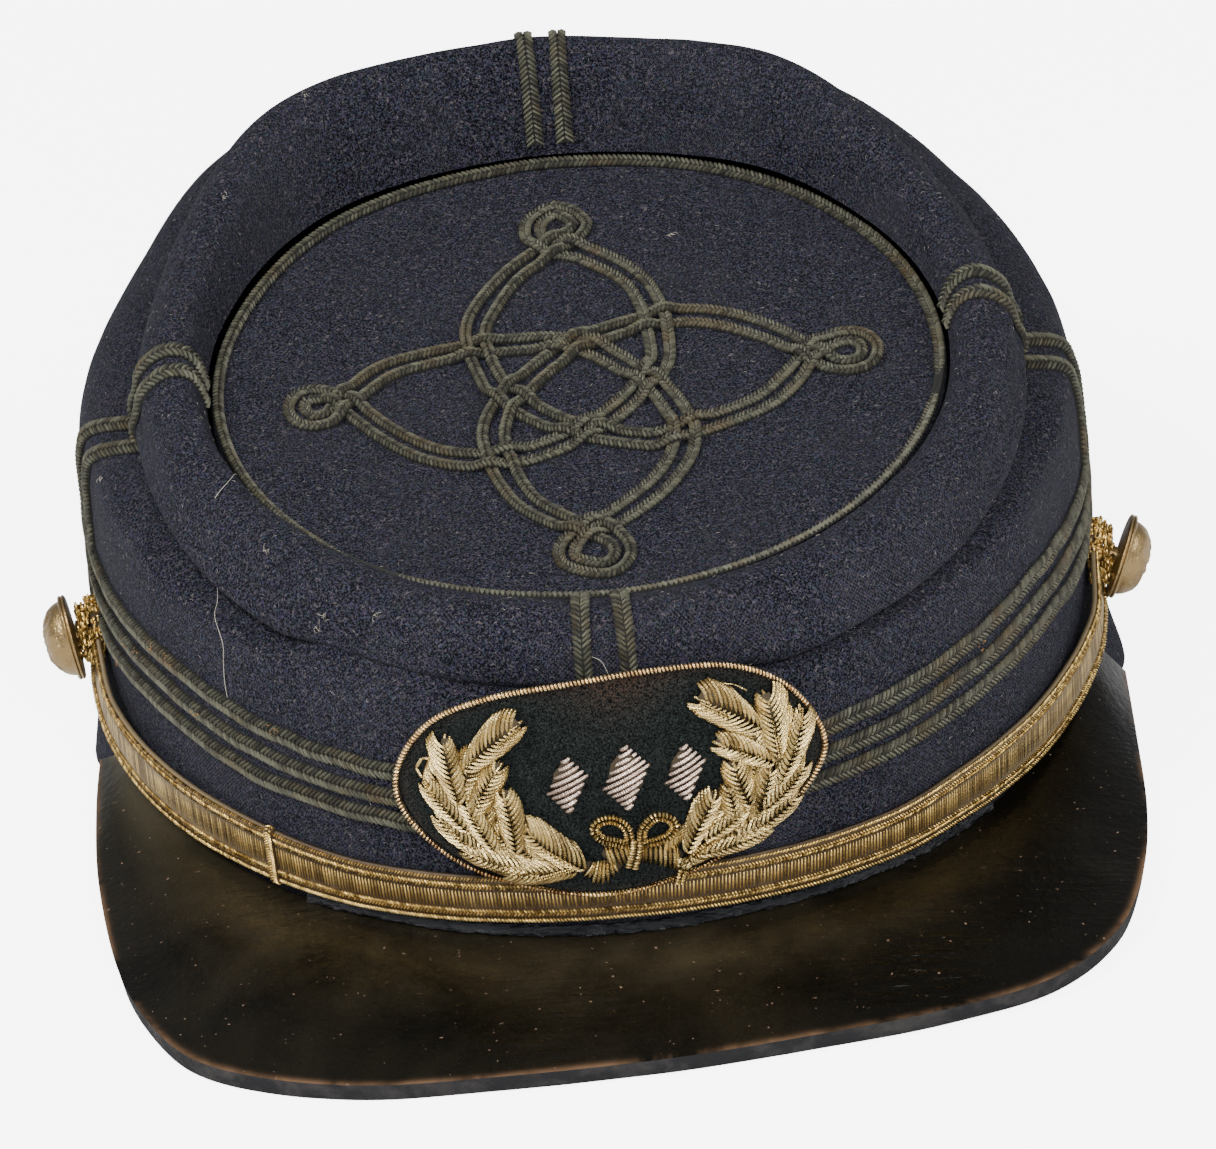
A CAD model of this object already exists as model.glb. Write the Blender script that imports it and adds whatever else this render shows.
# %% [markdown]
# # A kepi
# A soft wool cap with a padded roll round a sloping flat crown. Flat braid runs round the band
# in three rows, over the roll in pairs, and in a knot on the crown. In front are a leather
# visor, a gold lace chin strap between two buttons, and a velvet badge with a wreath.
# The frame holds each piece as a plain solid of the right size. Here each gets its real surface.

from bisect import bisect_right
from collections import namedtuple
from functools import lru_cache
from math import asin, cos, degrees, exp, hypot, pi, radians, sin, sqrt
from random import Random

import bmesh
import bpy
import numpy as np
from mathutils import Matrix, Vector, noise


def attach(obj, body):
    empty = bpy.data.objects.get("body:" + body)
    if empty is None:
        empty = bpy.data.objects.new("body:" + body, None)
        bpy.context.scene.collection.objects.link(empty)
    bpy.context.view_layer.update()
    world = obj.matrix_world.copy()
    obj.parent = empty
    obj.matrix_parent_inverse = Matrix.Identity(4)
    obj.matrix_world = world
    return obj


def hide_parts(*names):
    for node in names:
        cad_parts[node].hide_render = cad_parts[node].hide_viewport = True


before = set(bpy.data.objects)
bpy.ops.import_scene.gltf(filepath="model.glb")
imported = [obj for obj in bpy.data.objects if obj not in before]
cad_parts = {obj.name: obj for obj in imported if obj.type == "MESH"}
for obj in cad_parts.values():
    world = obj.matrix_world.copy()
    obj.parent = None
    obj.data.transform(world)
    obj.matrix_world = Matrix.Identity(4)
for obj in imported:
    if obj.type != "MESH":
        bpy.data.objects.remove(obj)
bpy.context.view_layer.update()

# %% [markdown]
# Sizes are in millimetres, with y from the middle of the head opening: 0 degrees is the front,
# 90 the cap's right-hand side in the picture, 180 the back. One function turns a point into the
# frame's metres. Tables of a few measured rows, with a smooth curve through them, give every
# shape, so a finer mesh needs no new numbers.

# %% Units and smooth tables
MM = 0.001
HEAD_Y = 15.5


def placed(point):
    return Vector((point[0], point[1] + HEAD_Y, point[2])) * MM


def smooth(points, s, closed=False):
    """The point at s, counted in points from the first, on a smooth curve through them."""
    count = len(points)
    start = int(s) if closed else max(0, min(int(s), count - 2))
    f = s - start
    picked = range(start - 1, start + 3)
    a, b, c, d = (points[k % count] if closed else points[max(0, min(k, count - 1))] for k in picked)
    return [
        0.5 * (2 * q + (r - p) * f + (2 * p - 5 * q + 4 * r - t) * f * f + (3 * q - p - 3 * r + t) * f ** 3)
        for p, q, r, t in zip(a, b, c, d)
    ]


def lookup(table, key):
    """A row of a table for a key in its first column."""
    row = 0
    while row < len(table) - 2 and table[row + 1][0] < key:
        row += 1
    return smooth(table, row + (key - table[row][0]) / (table[row + 1][0] - table[row][0]))


def turn_between(angle, other):
    return (angle - other + 180) % 360 - 180


def put(name, data):
    """An object with some data, in the scene."""
    made = bpy.data.objects.new(name, data)
    bpy.context.scene.collection.objects.link(made)
    return made


def clamp(value):
    return max(0.0, min(1.0, value))


def ease(share):
    """0 to 1 with a soft start and end."""
    return share * share * (3 - 2 * share)


print("middle of the head opening:", [round(v, 4) for v in placed((0, 0, 0))])

# %% [markdown]
# ## Camera, lights and floor
# The picture is taken from a little above with a long lens, turned a few degrees on its side.

# %% Camera
AIM = placed((1.9, -44.6, 43.6))
AZIMUTH, ELEVATION, ROLL_TURN = -0.49, 28.0, -4.76
DISTANCE = 1.293
FOCAL_PIXELS, PICTURE_WIDE = 8002, 1216

camera_data = bpy.data.cameras.new("camera")
camera_data.sensor_width = 36
camera_data.lens = 36 * FOCAL_PIXELS / PICTURE_WIDE
camera = put("camera", camera_data)
turn = Matrix.Rotation(radians(AZIMUTH), 4, "Z") @ Matrix.Rotation(radians(90 - ELEVATION), 4, "X")
turn = turn @ Matrix.Rotation(radians(ROLL_TURN), 4, "Z")
camera.matrix_world = Matrix.Translation(AIM + turn.col[2].xyz * DISTANCE) @ turn
bpy.context.scene.camera = camera
print("lens", round(camera_data.lens), "mm")

# %% [markdown]
# A big soft lamp at the upper left makes the shade inside the roll, and weaker ones and a pale
# sky fill the rest. An area lamp gives soft shadows like those of a window.

# %% Lights
Lamp = namedtuple("Lamp", "name x y z size watts")
LAMPS = [
    Lamp("key", -0.7, -0.3, 1.0, 0.4, 17.0),
    Lamp("front", 0.1, -1.2, 0.75, 0.6, 21.0),
    Lamp("right", 1.0, -0.3, 0.8, 0.5, 9.0),
]
LAMP_AIM = Vector((0, 0, 0.04))
for lamp in LAMPS:
    light = bpy.data.lights.new(lamp.name, "AREA")
    light.size = lamp.size
    light.energy = lamp.watts
    shown = put(lamp.name, light)
    shown.location = (lamp.x, lamp.y, lamp.z)
    shown.rotation_euler = (LAMP_AIM - shown.location).to_track_quat("-Z", "Y").to_euler()

SKY_COLOR, SKY_STRENGTH = (0.95, 0.97, 1.0, 1), 0.36
world = bpy.data.worlds.new("studio")
world.use_nodes = True
sky = world.node_tree.nodes["Background"]
sky.inputs["Color"].default_value = SKY_COLOR
sky.inputs["Strength"].default_value = SKY_STRENGTH
bpy.context.scene.world = world
print(len(LAMPS), "lamps")

# %% [markdown]
# The floor is a white sheet. It glows for the camera only, so that it shows white and doesn't
# light the cap from below.

# %% Floor
FLOOR_HALF, FLOOR_GLOW = 6, 5.5
form = bmesh.new()
bmesh.ops.create_grid(form, x_segments=1, y_segments=1, size=FLOOR_HALF)
mesh = bpy.data.meshes.new("floor")
form.to_mesh(mesh)
form.free()
floor = put("floor", mesh)
paint = bpy.data.materials.new("floor")
paint.use_nodes = True
surface = paint.node_tree.nodes["Principled BSDF"]
surface.inputs["Base Color"].default_value = (0.93, 0.93, 0.93, 1)
surface.inputs["Roughness"].default_value = 0.9
surface.inputs["Emission Color"].default_value = (1, 1, 1, 1)
ray = paint.node_tree.nodes.new("ShaderNodeLightPath")
glow = paint.node_tree.nodes.new("ShaderNodeMapRange")
glow.inputs["To Max"].default_value = FLOOR_GLOW
paint.node_tree.links.new(ray.outputs["Is Camera Ray"], glow.inputs["Value"])
paint.node_tree.links.new(glow.outputs["Result"], surface.inputs["Emission Strength"])
mesh.materials.append(paint)
print("floor", 2 * FLOOR_HALF, "m wide")

# %% [markdown]
# ## Shader groups
# An effect that several materials use is a node group, built once and then set differently in
# each. It puts out masks and colours, and the shader stays in the material. Short helpers keep
# the node code readable.

# %% Helpers for node groups
def group_frame(name, inputs, outputs):
    """A node group with its sockets, and its two end nodes."""
    group = bpy.data.node_groups.new(name, "ShaderNodeTree")
    for label, kind, value in inputs:
        socket = group.interface.new_socket(label, in_out="INPUT", socket_type="NodeSocket" + kind)
        socket.default_value = value
    for label, kind in outputs:
        group.interface.new_socket(label, in_out="OUTPUT", socket_type="NodeSocket" + kind)
    return group, group.nodes.new("NodeGroupInput"), group.nodes.new("NodeGroupOutput")


def node(tree, kind, **settings):
    made = tree.nodes.new("ShaderNode" + kind)
    for key, value in settings.items():
        if hasattr(made, key):
            setattr(made, key, value)
        else:
            made.inputs[key.replace("_", " ")].default_value = value
    return made


def join(tree, *pairs):
    for start, end in pairs:
        tree.links.new(start, end)


def calc(tree, operation, a, b):
    """A Math node on two sockets or numbers."""
    made = tree.nodes.new("ShaderNodeMath")
    made.operation = operation
    for socket, value in zip(made.inputs, (a, b)):
        if isinstance(value, (int, float)):
            socket.default_value = value
        else:
            tree.links.new(value, socket)
    return made.outputs[0]


def times(tree, a, b):
    return calc(tree, "MULTIPLY", a, b)


def mark(tree, name):
    """A number that a mesh carries at each of its points."""
    return node(tree, "Attribute", attribute_name=name).outputs["Fac"]


def ramp(tree, factor, low, high):
    """A factor stretched so that low becomes 0 and high becomes 1."""
    made = tree.nodes.new("ShaderNodeMapRange")
    made.inputs["From Min"].default_value = low
    made.inputs["From Max"].default_value = high
    tree.links.new(factor, made.inputs["Value"])
    return made.outputs["Result"]


def mix(tree, factor, a, b, blend="MIX"):
    """A colour mix. Factor and colours are sockets, numbers or colour triples."""
    made = tree.nodes.new("ShaderNodeMix")
    made.data_type = "RGBA"
    made.blend_type = blend
    for socket, value in zip((made.inputs[0], made.inputs[6], made.inputs[7]), (factor, a, b)):
        if isinstance(value, tuple):
            socket.default_value = (*value, 1)
        elif isinstance(value, (int, float)):
            socket.default_value = value
        else:
            tree.links.new(value, socket)
    return made.outputs[2]


# %% [markdown]
# Wool and velvet share a nap: fine fibres, a few pale flecks where fibres stand up, and slow
# clouds of wear. Three sizes of noise on object coordinates make it.

# %% The nap of wool and velvet
WEAVE_RADIUS = 90.0
nap, ends_in, ends_out = group_frame(
    "nap",
    [("Fibre Scale", "Float", 1500.0), ("Fleck Scale", "Float", 700.0), ("Fleck Amount", "Float", 0.3)],
    [("Fibre", "Float"), ("Flecks", "Float"), ("Clouds", "Float"), ("Hues", "Color")],
)
place = node(nap, "TexCoord")
fibre = node(nap, "TexNoise", Detail=3.0, Roughness=0.65, Distortion=0.6)
fleck = node(nap, "TexNoise", Detail=2.0, Roughness=0.5, Distortion=1.2)
clouds = node(nap, "TexNoise", Scale=45.0, Detail=4.0, Roughness=0.6)
for texture in (fibre, fleck, clouds):
    join(nap, (place.outputs["Object"], texture.inputs["Vector"]))
join(nap, (ends_in.outputs["Fibre Scale"], fibre.inputs["Scale"]))
join(nap, (ends_in.outputs["Fleck Scale"], fleck.inputs["Scale"]))
spots = times(nap, ramp(nap, fleck.outputs["Fac"], 0.60, 0.78), ends_in.outputs["Fleck Amount"])
join(nap, (fibre.outputs["Fac"], ends_out.inputs["Fibre"]), (spots, ends_out.inputs["Flecks"]))
join(nap, (fleck.outputs["Color"], ends_out.inputs["Hues"]))
join(nap, (clouds.outputs["Fac"], ends_out.inputs["Clouds"]))
print("nap:", len(nap.nodes), "nodes")

# %% [markdown]
# Where the nap has worn off, the weave shows as small ribs. Two sine waves cross, one round the
# cap and one upwards, so the ribs run true on the wall and fade on flat parts.

# %% The weave of worn wool
weave, ends_in, ends_out = group_frame("weave", [("Pitch", "Float", 0.0007)], [("Ribs", "Float")])
place = node(weave, "TexCoord")
axes = node(weave, "SeparateXYZ")
facing = node(weave, "NewGeometry")
slope = node(weave, "SeparateXYZ")
join(weave, (place.outputs["Object"], axes.inputs["Vector"]))
join(weave, (facing.outputs["Normal"], slope.inputs["Vector"]))
back = calc(weave, "SUBTRACT", HEAD_Y * MM, axes.outputs["Y"])
around = times(weave, calc(weave, "ARCTAN2", axes.outputs["X"], back), WEAVE_RADIUS * MM)
turns = [calc(weave, "DIVIDE", times(weave, way, 2 * pi), ends_in.outputs["Pitch"])
         for way in (around, axes.outputs["Z"])]
ribs = times(weave, *[calc(weave, "SINE", turn, 0.0) for turn in turns])
upright = calc(weave, "SUBTRACT", 1.0, calc(weave, "POWER", slope.outputs["Z"], 2.0))
join(weave, (times(weave, ribs, upright), ends_out.inputs["Ribs"]))
print("weave:", len(weave.nodes), "nodes")

# %% [markdown]
# Each copy of a thread carries a number called tone, which picks between a dark and a light
# colour. Patches of noise bring in the third, the tarnish.

# %% The tint of threads
tint, ends_in, ends_out = group_frame(
    "thread tint",
    [("Dark", "Color", (0.05, 0.04, 0.02, 1)), ("Light", "Color", (0.2, 0.2, 0.15, 1)),
     ("Tarnish", "Color", (0.1, 0.05, 0.02, 1)), ("Tarnish Amount", "Float", 0.5),
     ("Patch Scale", "Float", 120.0)],
    [("Color", "Color"), ("Tarnished", "Float"), ("Fibre", "Float")],
)
place = node(tint, "TexCoord")
patch = node(tint, "TexNoise", Detail=3.0, Roughness=0.6)
fine = node(tint, "TexNoise", Scale=2600.0, Detail=2.0)
join(tint, (place.outputs["Object"], patch.inputs["Vector"]))
join(tint, (place.outputs["Object"], fine.inputs["Vector"]))
join(tint, (ends_in.outputs["Patch Scale"], patch.inputs["Scale"]))
between = calc(tint, "ADD", times(tint, fine.outputs["Fac"], 0.35), mark(tint, "tone"))
between = calc(tint, "SUBTRACT", between, 0.17)
worn = times(tint, ramp(tint, patch.outputs["Fac"], 0.52, 0.70), ends_in.outputs["Tarnish Amount"])
plain = mix(tint, between, ends_in.outputs["Dark"], ends_in.outputs["Light"])
join(tint, (mix(tint, worn, plain, ends_in.outputs["Tarnish"]), ends_out.inputs["Color"]))
join(tint, (worn, ends_out.inputs["Tarnished"]), (fine.outputs["Fac"], ends_out.inputs["Fibre"]))
print("tint:", len(tint.nodes), "nodes")

# %% [markdown]
# Leather has fine pores, larger patches where its coat has worn, and a few pale specks.

# %% The grain of leather
grain, ends_in, ends_out = group_frame(
    "leather grain",
    [("Grain Scale", "Float", 900.0), ("Wear Scale", "Float", 60.0)],
    [("Grain", "Float"), ("Wear", "Float"), ("Specks", "Float")],
)
place = node(grain, "TexCoord")
pores = node(grain, "TexNoise", Detail=4.0, Roughness=0.6)
wear = node(grain, "TexNoise", Detail=5.0, Roughness=0.62, Distortion=0.4)
for texture, scale in ((pores, "Grain Scale"), (wear, "Wear Scale")):
    join(grain, (place.outputs["Object"], texture.inputs["Vector"]))
    join(grain, (ends_in.outputs[scale], texture.inputs["Scale"]))
specks = node(grain, "TexNoise", Scale=1100.0, Detail=1.0)
join(grain, (place.outputs["Object"], specks.inputs["Vector"]))
join(grain, (ramp(grain, specks.outputs["Fac"], 0.72, 0.80), ends_out.inputs["Specks"]))
join(grain, (pores.outputs["Fac"], ends_out.inputs["Grain"]))
join(grain, (wear.outputs["Fac"], ends_out.inputs["Wear"]))
print("groups:", [g.name for g in bpy.data.node_groups])


# %% [markdown]
# ## Materials
# A finish is a Principled shader with its plain values on its own sockets. Groups and marks
# drive only what changes over the surface: colour, roughness, coat and relief.

# %% Helpers for materials
def finish(name, color, roughness, metallic=0.0, **constants):
    """A material, its tree and its shader, with plain values set on the shader's own sockets."""
    made = bpy.data.materials.new(name)
    made.use_nodes = True
    tree = made.node_tree
    shader = tree.nodes["Principled BSDF"]
    shader.inputs["Base Color"].default_value = (*color, 1)
    shader.inputs["Roughness"].default_value = roughness
    shader.inputs["Metallic"].default_value = metallic
    for key, value in constants.items():
        shader.inputs[key.replace("_", " ")].default_value = value
    return made, tree, shader


def place_group(tree, group, **values):
    made = tree.nodes.new("ShaderNodeGroup")
    made.node_tree = group
    for key, value in values.items():
        made.inputs[key.replace("_", " ")].default_value = (*value, 1) if isinstance(value, tuple) else value
    return made


def bump(tree, shader, height, distance):
    made = node(tree, "Bump", Distance=distance, Strength=1.0)
    join(tree, (height, made.inputs["Height"]), (made.outputs["Normal"], shader.inputs["Normal"]))


# %% [markdown]
# The wool is a navy that is nearly black. Its nap gives it a soft sheen, the weave shows in the
# worn clouds, and a mark called shade makes the open groove under the roll dark.

# %% Wool
NIGHT_NAVY, LIT_NAVY = (0.0004, 0.0004, 0.0018), (0.036, 0.035, 0.051)
CLOUD_NAVY, WORN_NAVY, PALE_FIBRE = (0.017, 0.016, 0.020), (0.055, 0.055, 0.070), (0.14, 0.13, 0.13)
GROOVE_BLACK = (0.0004, 0.0004, 0.0007)

wool, tree, shader = finish(
    "navy wool", (0.02, 0.021, 0.036), 0.95, Sheen_Weight=0.02, Sheen_Roughness=0.5,
    Sheen_Tint=(0.75, 0.78, 0.9, 1), Specular_IOR_Level=0.1)
fuzz = place_group(tree, nap, Fibre_Scale=3000.0, Fleck_Scale=1500.0, Fleck_Amount=0.6).outputs
base = mix(tree, ramp(tree, fuzz["Fibre"], 0.46, 0.59), NIGHT_NAVY, LIT_NAVY)
base = mix(tree, times(tree, ramp(tree, fuzz["Clouds"], 0.45, 0.75), 0.35), base, CLOUD_NAVY)
hues = mix(tree, 1.0, fuzz["Hues"], (2.0, 2.0, 2.0), "MULTIPLY")
base = mix(tree, 0.7, base, hues, "MULTIPLY")
ribs = place_group(tree, weave, Pitch=0.00068).outputs["Ribs"]
ribs = times(tree, ribs, ramp(tree, fuzz["Clouds"], 0.40, 0.62))
base = mix(tree, times(tree, calc(tree, "MAXIMUM", ribs, 0.0), 0.8), base, WORN_NAVY)
base = mix(tree, fuzz["Flecks"], base, PALE_FIBRE)
base = mix(tree, times(tree, mark(tree, "shade"), 0.95), base, GROOVE_BLACK)
join(tree, (base, shader.inputs["Base Color"]))
bump(tree, shader, calc(tree, "ADD", fuzz["Fibre"], times(tree, ribs, 0.3)), 0.0004)
print("wool:", len(tree.nodes), "nodes")

# %% [markdown]
# Velvet is darker than the wool, blue-green, and red-brown where the mark called rubbed is high.

# %% Velvet
DEEP_PILE, LIT_PILE = (0.0006, 0.0010, 0.0010), (0.017, 0.021, 0.019)
RUBBED_PILE, PALE_PILE = (0.056, 0.031, 0.021), (0.07, 0.09, 0.09)

velvet, tree, shader = finish(
    "black velvet", (0.012, 0.016, 0.016), 1.0, Sheen_Weight=0.05, Sheen_Roughness=0.4,
    Sheen_Tint=(0.45, 0.6, 0.62, 1), Specular_IOR_Level=0.1)
fuzz = place_group(tree, nap, Fibre_Scale=3200.0, Fleck_Scale=1900.0, Fleck_Amount=0.4).outputs
base = mix(tree, ramp(tree, fuzz["Fibre"], 0.42, 0.62), DEEP_PILE, LIT_PILE)
worn = times(tree, mark(tree, "rubbed"), ramp(tree, fuzz["Fibre"], 0.44, 0.58))
base = mix(tree, worn, base, RUBBED_PILE)
base = mix(tree, fuzz["Flecks"], base, PALE_PILE)
join(tree, (base, shader.inputs["Base Color"]))
bump(tree, shader, fuzz["Fibre"], 0.0005)
print("velvet:", len(tree.nodes), "nodes")


# %% [markdown]
# Braid threads are olive grey with brown in them, metal threads are brass gone brown in places.
# A wound thread is darker at its foot, by a mark called crest, and has a ripple along its length,
# by a mark called far. One table holds all the threads.

# %% Threads
CREST_FROM, CREST_TO = 0.52, 0.96     # where a coiled thread goes from its dark foot to its colour
FOOT_SHARE = 0.35                     # how much of the dark colour is left at the foot
THREAD_BUMP, COIL_BUMP = 0.00012, 0.12
DULL_METAL = 0.75


Thread = namedtuple("Thread", "name dark light tarnish amount roughness metallic coil patches",
                    defaults=[0.0, 120.0])
COIL = 0.36     # the pitch of a wound thread
THREADS = [
    Thread("olive braid", (0.01, 0.008, 0.003), (0.086, 0.085, 0.055), (0.068, 0.042, 0.012), 0.5, 0.7, 0),
    Thread("braid core", (0.006, 0.006, 0.004), (0.016, 0.015, 0.01), (0.016, 0.011, 0.005), 0.3, 0.9, 0),
    Thread("gold lace", (0.14, 0.08, 0.018), (0.92, 0.64, 0.22), (0.2, 0.13, 0.055), 0.4, 0.3, 0.9),
    Thread("lace ground", (0.05, 0.03, 0.013), (0.2, 0.15, 0.08), (0.12, 0.088, 0.05), 0.6, 0.55, 0.3),
    Thread("bullion", (0.11, 0.065, 0.02), (0.86, 0.66, 0.29), (0.32, 0.21, 0.08), 0.5, 0.27, 0.92, COIL),
    Thread("padding", (0.03, 0.019, 0.007), (0.11, 0.075, 0.03), (0.03, 0.019, 0.007), 0.5, 0.9, 0),
    Thread("copper wire", (0.24, 0.13, 0.05), (0.92, 0.68, 0.36), (0.3, 0.16, 0.06), 0.4, 0.25, 0.95),
    Thread("silvered wire", (0.2, 0.13, 0.09), (0.8, 0.64, 0.53), (0.32, 0.2, 0.13), 0.5, 0.34, 0.9, COIL),
    Thread("pale brass", (0.16, 0.1, 0.04), (0.4, 0.285, 0.135), (0.2, 0.12, 0.04), 0.5, 0.34, 0.9, 0, 300.0),
    Thread("hair", (0.1, 0.09, 0.08), (0.34, 0.31, 0.27), (0.25, 0.17, 0.1), 0.3, 0.6, 0),
    Thread("lint", (0.2, 0.18, 0.14), (0.42, 0.39, 0.33), (0.3, 0.2, 0.1), 0.4, 0.8, 0),
    Thread("rusty fleck", (0.1, 0.05, 0.018), (0.24, 0.125, 0.04), (0.16, 0.07, 0.02), 0.4, 0.8, 0),
]


def thread_finish(thread):
    made, tree, shader = finish(thread.name, thread.light, thread.roughness, thread.metallic)
    colours = place_group(
        tree, tint, Dark=thread.dark, Light=thread.light, Tarnish=thread.tarnish,
        Tarnish_Amount=thread.amount, Patch_Scale=thread.patches).outputs
    base, height = colours["Color"], colours["Fibre"]
    if thread.coil:
        foot = tuple(FOOT_SHARE * part for part in thread.dark)
        base = mix(tree, ramp(tree, mark(tree, "crest"), CREST_FROM, CREST_TO), foot, base)
        ripple = calc(tree, "SINE", times(tree, mark(tree, "far"), 2 * pi / thread.coil), 0.0)
        height = calc(tree, "ADD", height, times(tree, ripple, COIL_BUMP))
    join(tree, (base, shader.inputs["Base Color"]))
    if thread.metallic:
        dull = node(tree, "MapRange", To_Min=thread.roughness, To_Max=DULL_METAL)
        join(tree, (colours["Tarnished"], dull.inputs["Value"]))
        join(tree, (dull.outputs["Result"], shader.inputs["Roughness"]))
    bump(tree, shader, height, THREAD_BUMP)
    return made


(braid, braid_core, lace, lace_ground, bullion, padding,
 copper, silver, brass, hair, lint, rust) = map(thread_finish, THREADS)
print(len(THREADS), "threads")

# %% [markdown]
# The visor's leather is black-brown under a thin glossy coat. It is paler where its patches have
# worn and along the rubbed rim, and folded where the mark called crease is high.

# %% Glossy leather of the visor
DEEP_BROWN, LIT_BROWN, DULL_BROWN = (0.0040, 0.0034, 0.0020), (0.026, 0.0205, 0.0118), (0.034, 0.029, 0.017)
LEATHER_BLACK, SPECK_TAN, RUBBED_TAN = (0.0010, 0.0009, 0.0006), (0.17, 0.11, 0.075), (0.11, 0.062, 0.033)
FOLD_TURN, FOLD_SCALE, FOLD_HIGH = radians(35), (90, 620, 90), 6.5

leather, tree, shader = finish(
    "visor leather", (0.02, 0.015, 0.01), 0.3, Coat_Roughness=0.2, Coat_IOR=1.4, Specular_IOR_Level=0.13)
hide = place_group(tree, grain, Grain_Scale=700.0, Wear_Scale=42.0).outputs
dull, dark = mark(tree, "dull"), mark(tree, "shade")
rubbed = times(tree, mark(tree, "edge"), ramp(tree, hide["Wear"], 0.42, 0.58))
base = mix(tree, ramp(tree, hide["Wear"], 0.36, 0.76), DEEP_BROWN, LIT_BROWN)
base = mix(tree, dull, base, DULL_BROWN)
base = mix(tree, times(tree, dark, 0.85), base, LEATHER_BLACK)
base = mix(tree, times(tree, ramp(tree, hide["Specks"], 0.35, 0.9), 0.9), base, SPECK_TAN)
base = mix(tree, rubbed, base, RUBBED_TAN)
join(tree, (base, shader.inputs["Base Color"]))
rough = calc(tree, "ADD", times(tree, hide["Grain"], 0.25), 0.14)
coat = 0.25
for factor, rougher, duller in ((dull, 0.30, 0.24), (rubbed, 0.3, 0.0), (dark, 0.0, 0.24)):
    if rougher:
        rough = calc(tree, "ADD", rough, times(tree, factor, rougher))
    if duller:
        coat = calc(tree, "SUBTRACT", coat, times(tree, factor, duller))
join(tree, (rough, shader.inputs["Roughness"]), (coat, shader.inputs["Coat Weight"]))
where = node(tree, "TexCoord")
aligned = node(tree, "Mapping")
aligned.inputs["Rotation"].default_value = (0, 0, FOLD_TURN)
aligned.inputs["Scale"].default_value = FOLD_SCALE
folds = node(tree, "TexNoise", Scale=1.0, Detail=3.0, Roughness=0.55, Distortion=0.5)
join(tree, (where.outputs["Object"], aligned.inputs["Vector"]))
join(tree, (aligned.outputs["Vector"], folds.inputs["Vector"]))
fold = times(tree, times(tree, folds.outputs["Fac"], mark(tree, "crease")), FOLD_HIGH)
bump(tree, shader, calc(tree, "ADD", hide["Grain"], fold), 0.00018)
print("visor leather:", len(tree.nodes), "nodes")

# %% [markdown]
# The visor's cut edge is dull and the welt has its own darker shine, both of two worn tones.

# %% Plain leather
def plain_leather(name, color, roughness, scales, wear, deep, lit, relief, **constants):
    """Leather of two tones in worn patches. scales are those of grain and wear."""
    made, tree, shader = finish(name, color, roughness, **constants)
    hide = place_group(tree, grain, Grain_Scale=scales[0], Wear_Scale=scales[1]).outputs
    base = mix(tree, ramp(tree, hide["Wear"], *wear), deep, lit)
    join(tree, (base, shader.inputs["Base Color"]))
    bump(tree, shader, hide["Grain"], relief)
    return made


cut_edge = plain_leather(
    "cut leather edge", (0.05, 0.045, 0.04), 0.85, (1200.0, 160.0), (0.45, 0.7),
    (0.012, 0.012, 0.013), (0.040, 0.036, 0.034), 0.0004, Specular_IOR_Level=0.15)
piping = plain_leather(
    "welt leather", (0.02, 0.022, 0.026), 0.22, (1100.0, 120.0), (0.45, 0.62),
    (0.003, 0.004, 0.006), (0.016, 0.017, 0.020), 0.0018)
print(len(bpy.data.materials), "materials")

# %% [markdown]
# ## How pieces are made
# Every piece rides on the cap's one body. A piece names its finish and the plain solids of the
# frame that it stands for.

# %% From a bmesh to a piece
def keep(piece, slot, *nodes):
    """Puts a piece on the cap, with the finish slot and the nodes it stands for."""
    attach(piece, "root")
    if nodes:
        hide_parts(*nodes)
    return piece


def small_mesh(name, form):
    """A smooth mesh from a bmesh."""
    made = bpy.data.meshes.new(name)
    form.to_mesh(made)
    form.free()
    made.shade_smooth()
    return made


def show(name, form, *materials):
    """A piece from a bmesh, smooth but for its sharp edges."""
    made = small_mesh(name, form)
    made.set_sharp_from_angle(angle=radians(50))
    for material in materials:
        made.materials.append(material)
    return put(name, made)


# %% [markdown]
# Nearly every piece here is a skin over a known surface, so it starts as a flat grid that keeps
# its own UV map, and each point is moved to its place. That is quicker than sculpting and keeps
# the columns of the grid running along the piece. Solidify then gives it a wall.

# %% Skins
def pour(form, other):
    """Adds one bmesh to another."""
    part = small_mesh("part", other)
    form.from_mesh(part)
    bpy.data.meshes.remove(part)


def second_finish(form):
    """Gives the faces that are there so far the second material of their piece."""
    for face in form.faces:
        face.material_index = 1


def one_tone(form, value):
    layer = form.verts.layers.float.new("tone")
    for vert in form.verts:
        vert[layer] = value


def skin_form(columns, rows, spot, marks=()):
    """A grid moved to spot(u, v), welded where its edges meet. marks are (name, value(u, v))."""
    form = bmesh.new()
    form.loops.layers.uv.new("UVMap")
    bmesh.ops.create_grid(form, x_segments=columns, y_segments=rows, size=0.5, calc_uvs=True)
    layers = [(form.verts.layers.float.new(name), value) for name, value in marks]
    for vert in form.verts:
        u, v = vert.co.x + 0.5, vert.co.y + 0.5
        for layer, value in layers:
            vert[layer] = value(u, v)
        vert.co = placed(spot(u, v))
    bmesh.ops.remove_doubles(form, verts=form.verts, dist=0.002 * MM)
    return form


def thicken(piece, wall, rim_slot=0, rounding=0.0):
    """Gives a skin its thickness, under it, with rounded rims."""
    made = piece.modifiers.new("wall", "SOLIDIFY")
    made.thickness = wall * MM
    made.offset = -1
    made.material_offset_rim = rim_slot
    if rounding:
        soft = piece.modifiers.new("rounded rim", "BEVEL")
        soft.width = rounding * MM
        soft.segments = 3
        soft.limit_method = "ANGLE"
        soft.angle_limit = radians(55)


# %% [markdown]
# Threads are made once, as a small closed mesh, and copied to many places with a tone of their
# own. Each copy is a matrix: a bead is stretched along its thread and turned to its place.

# %% Small meshes and their copies
chance = Random(7)


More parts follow.
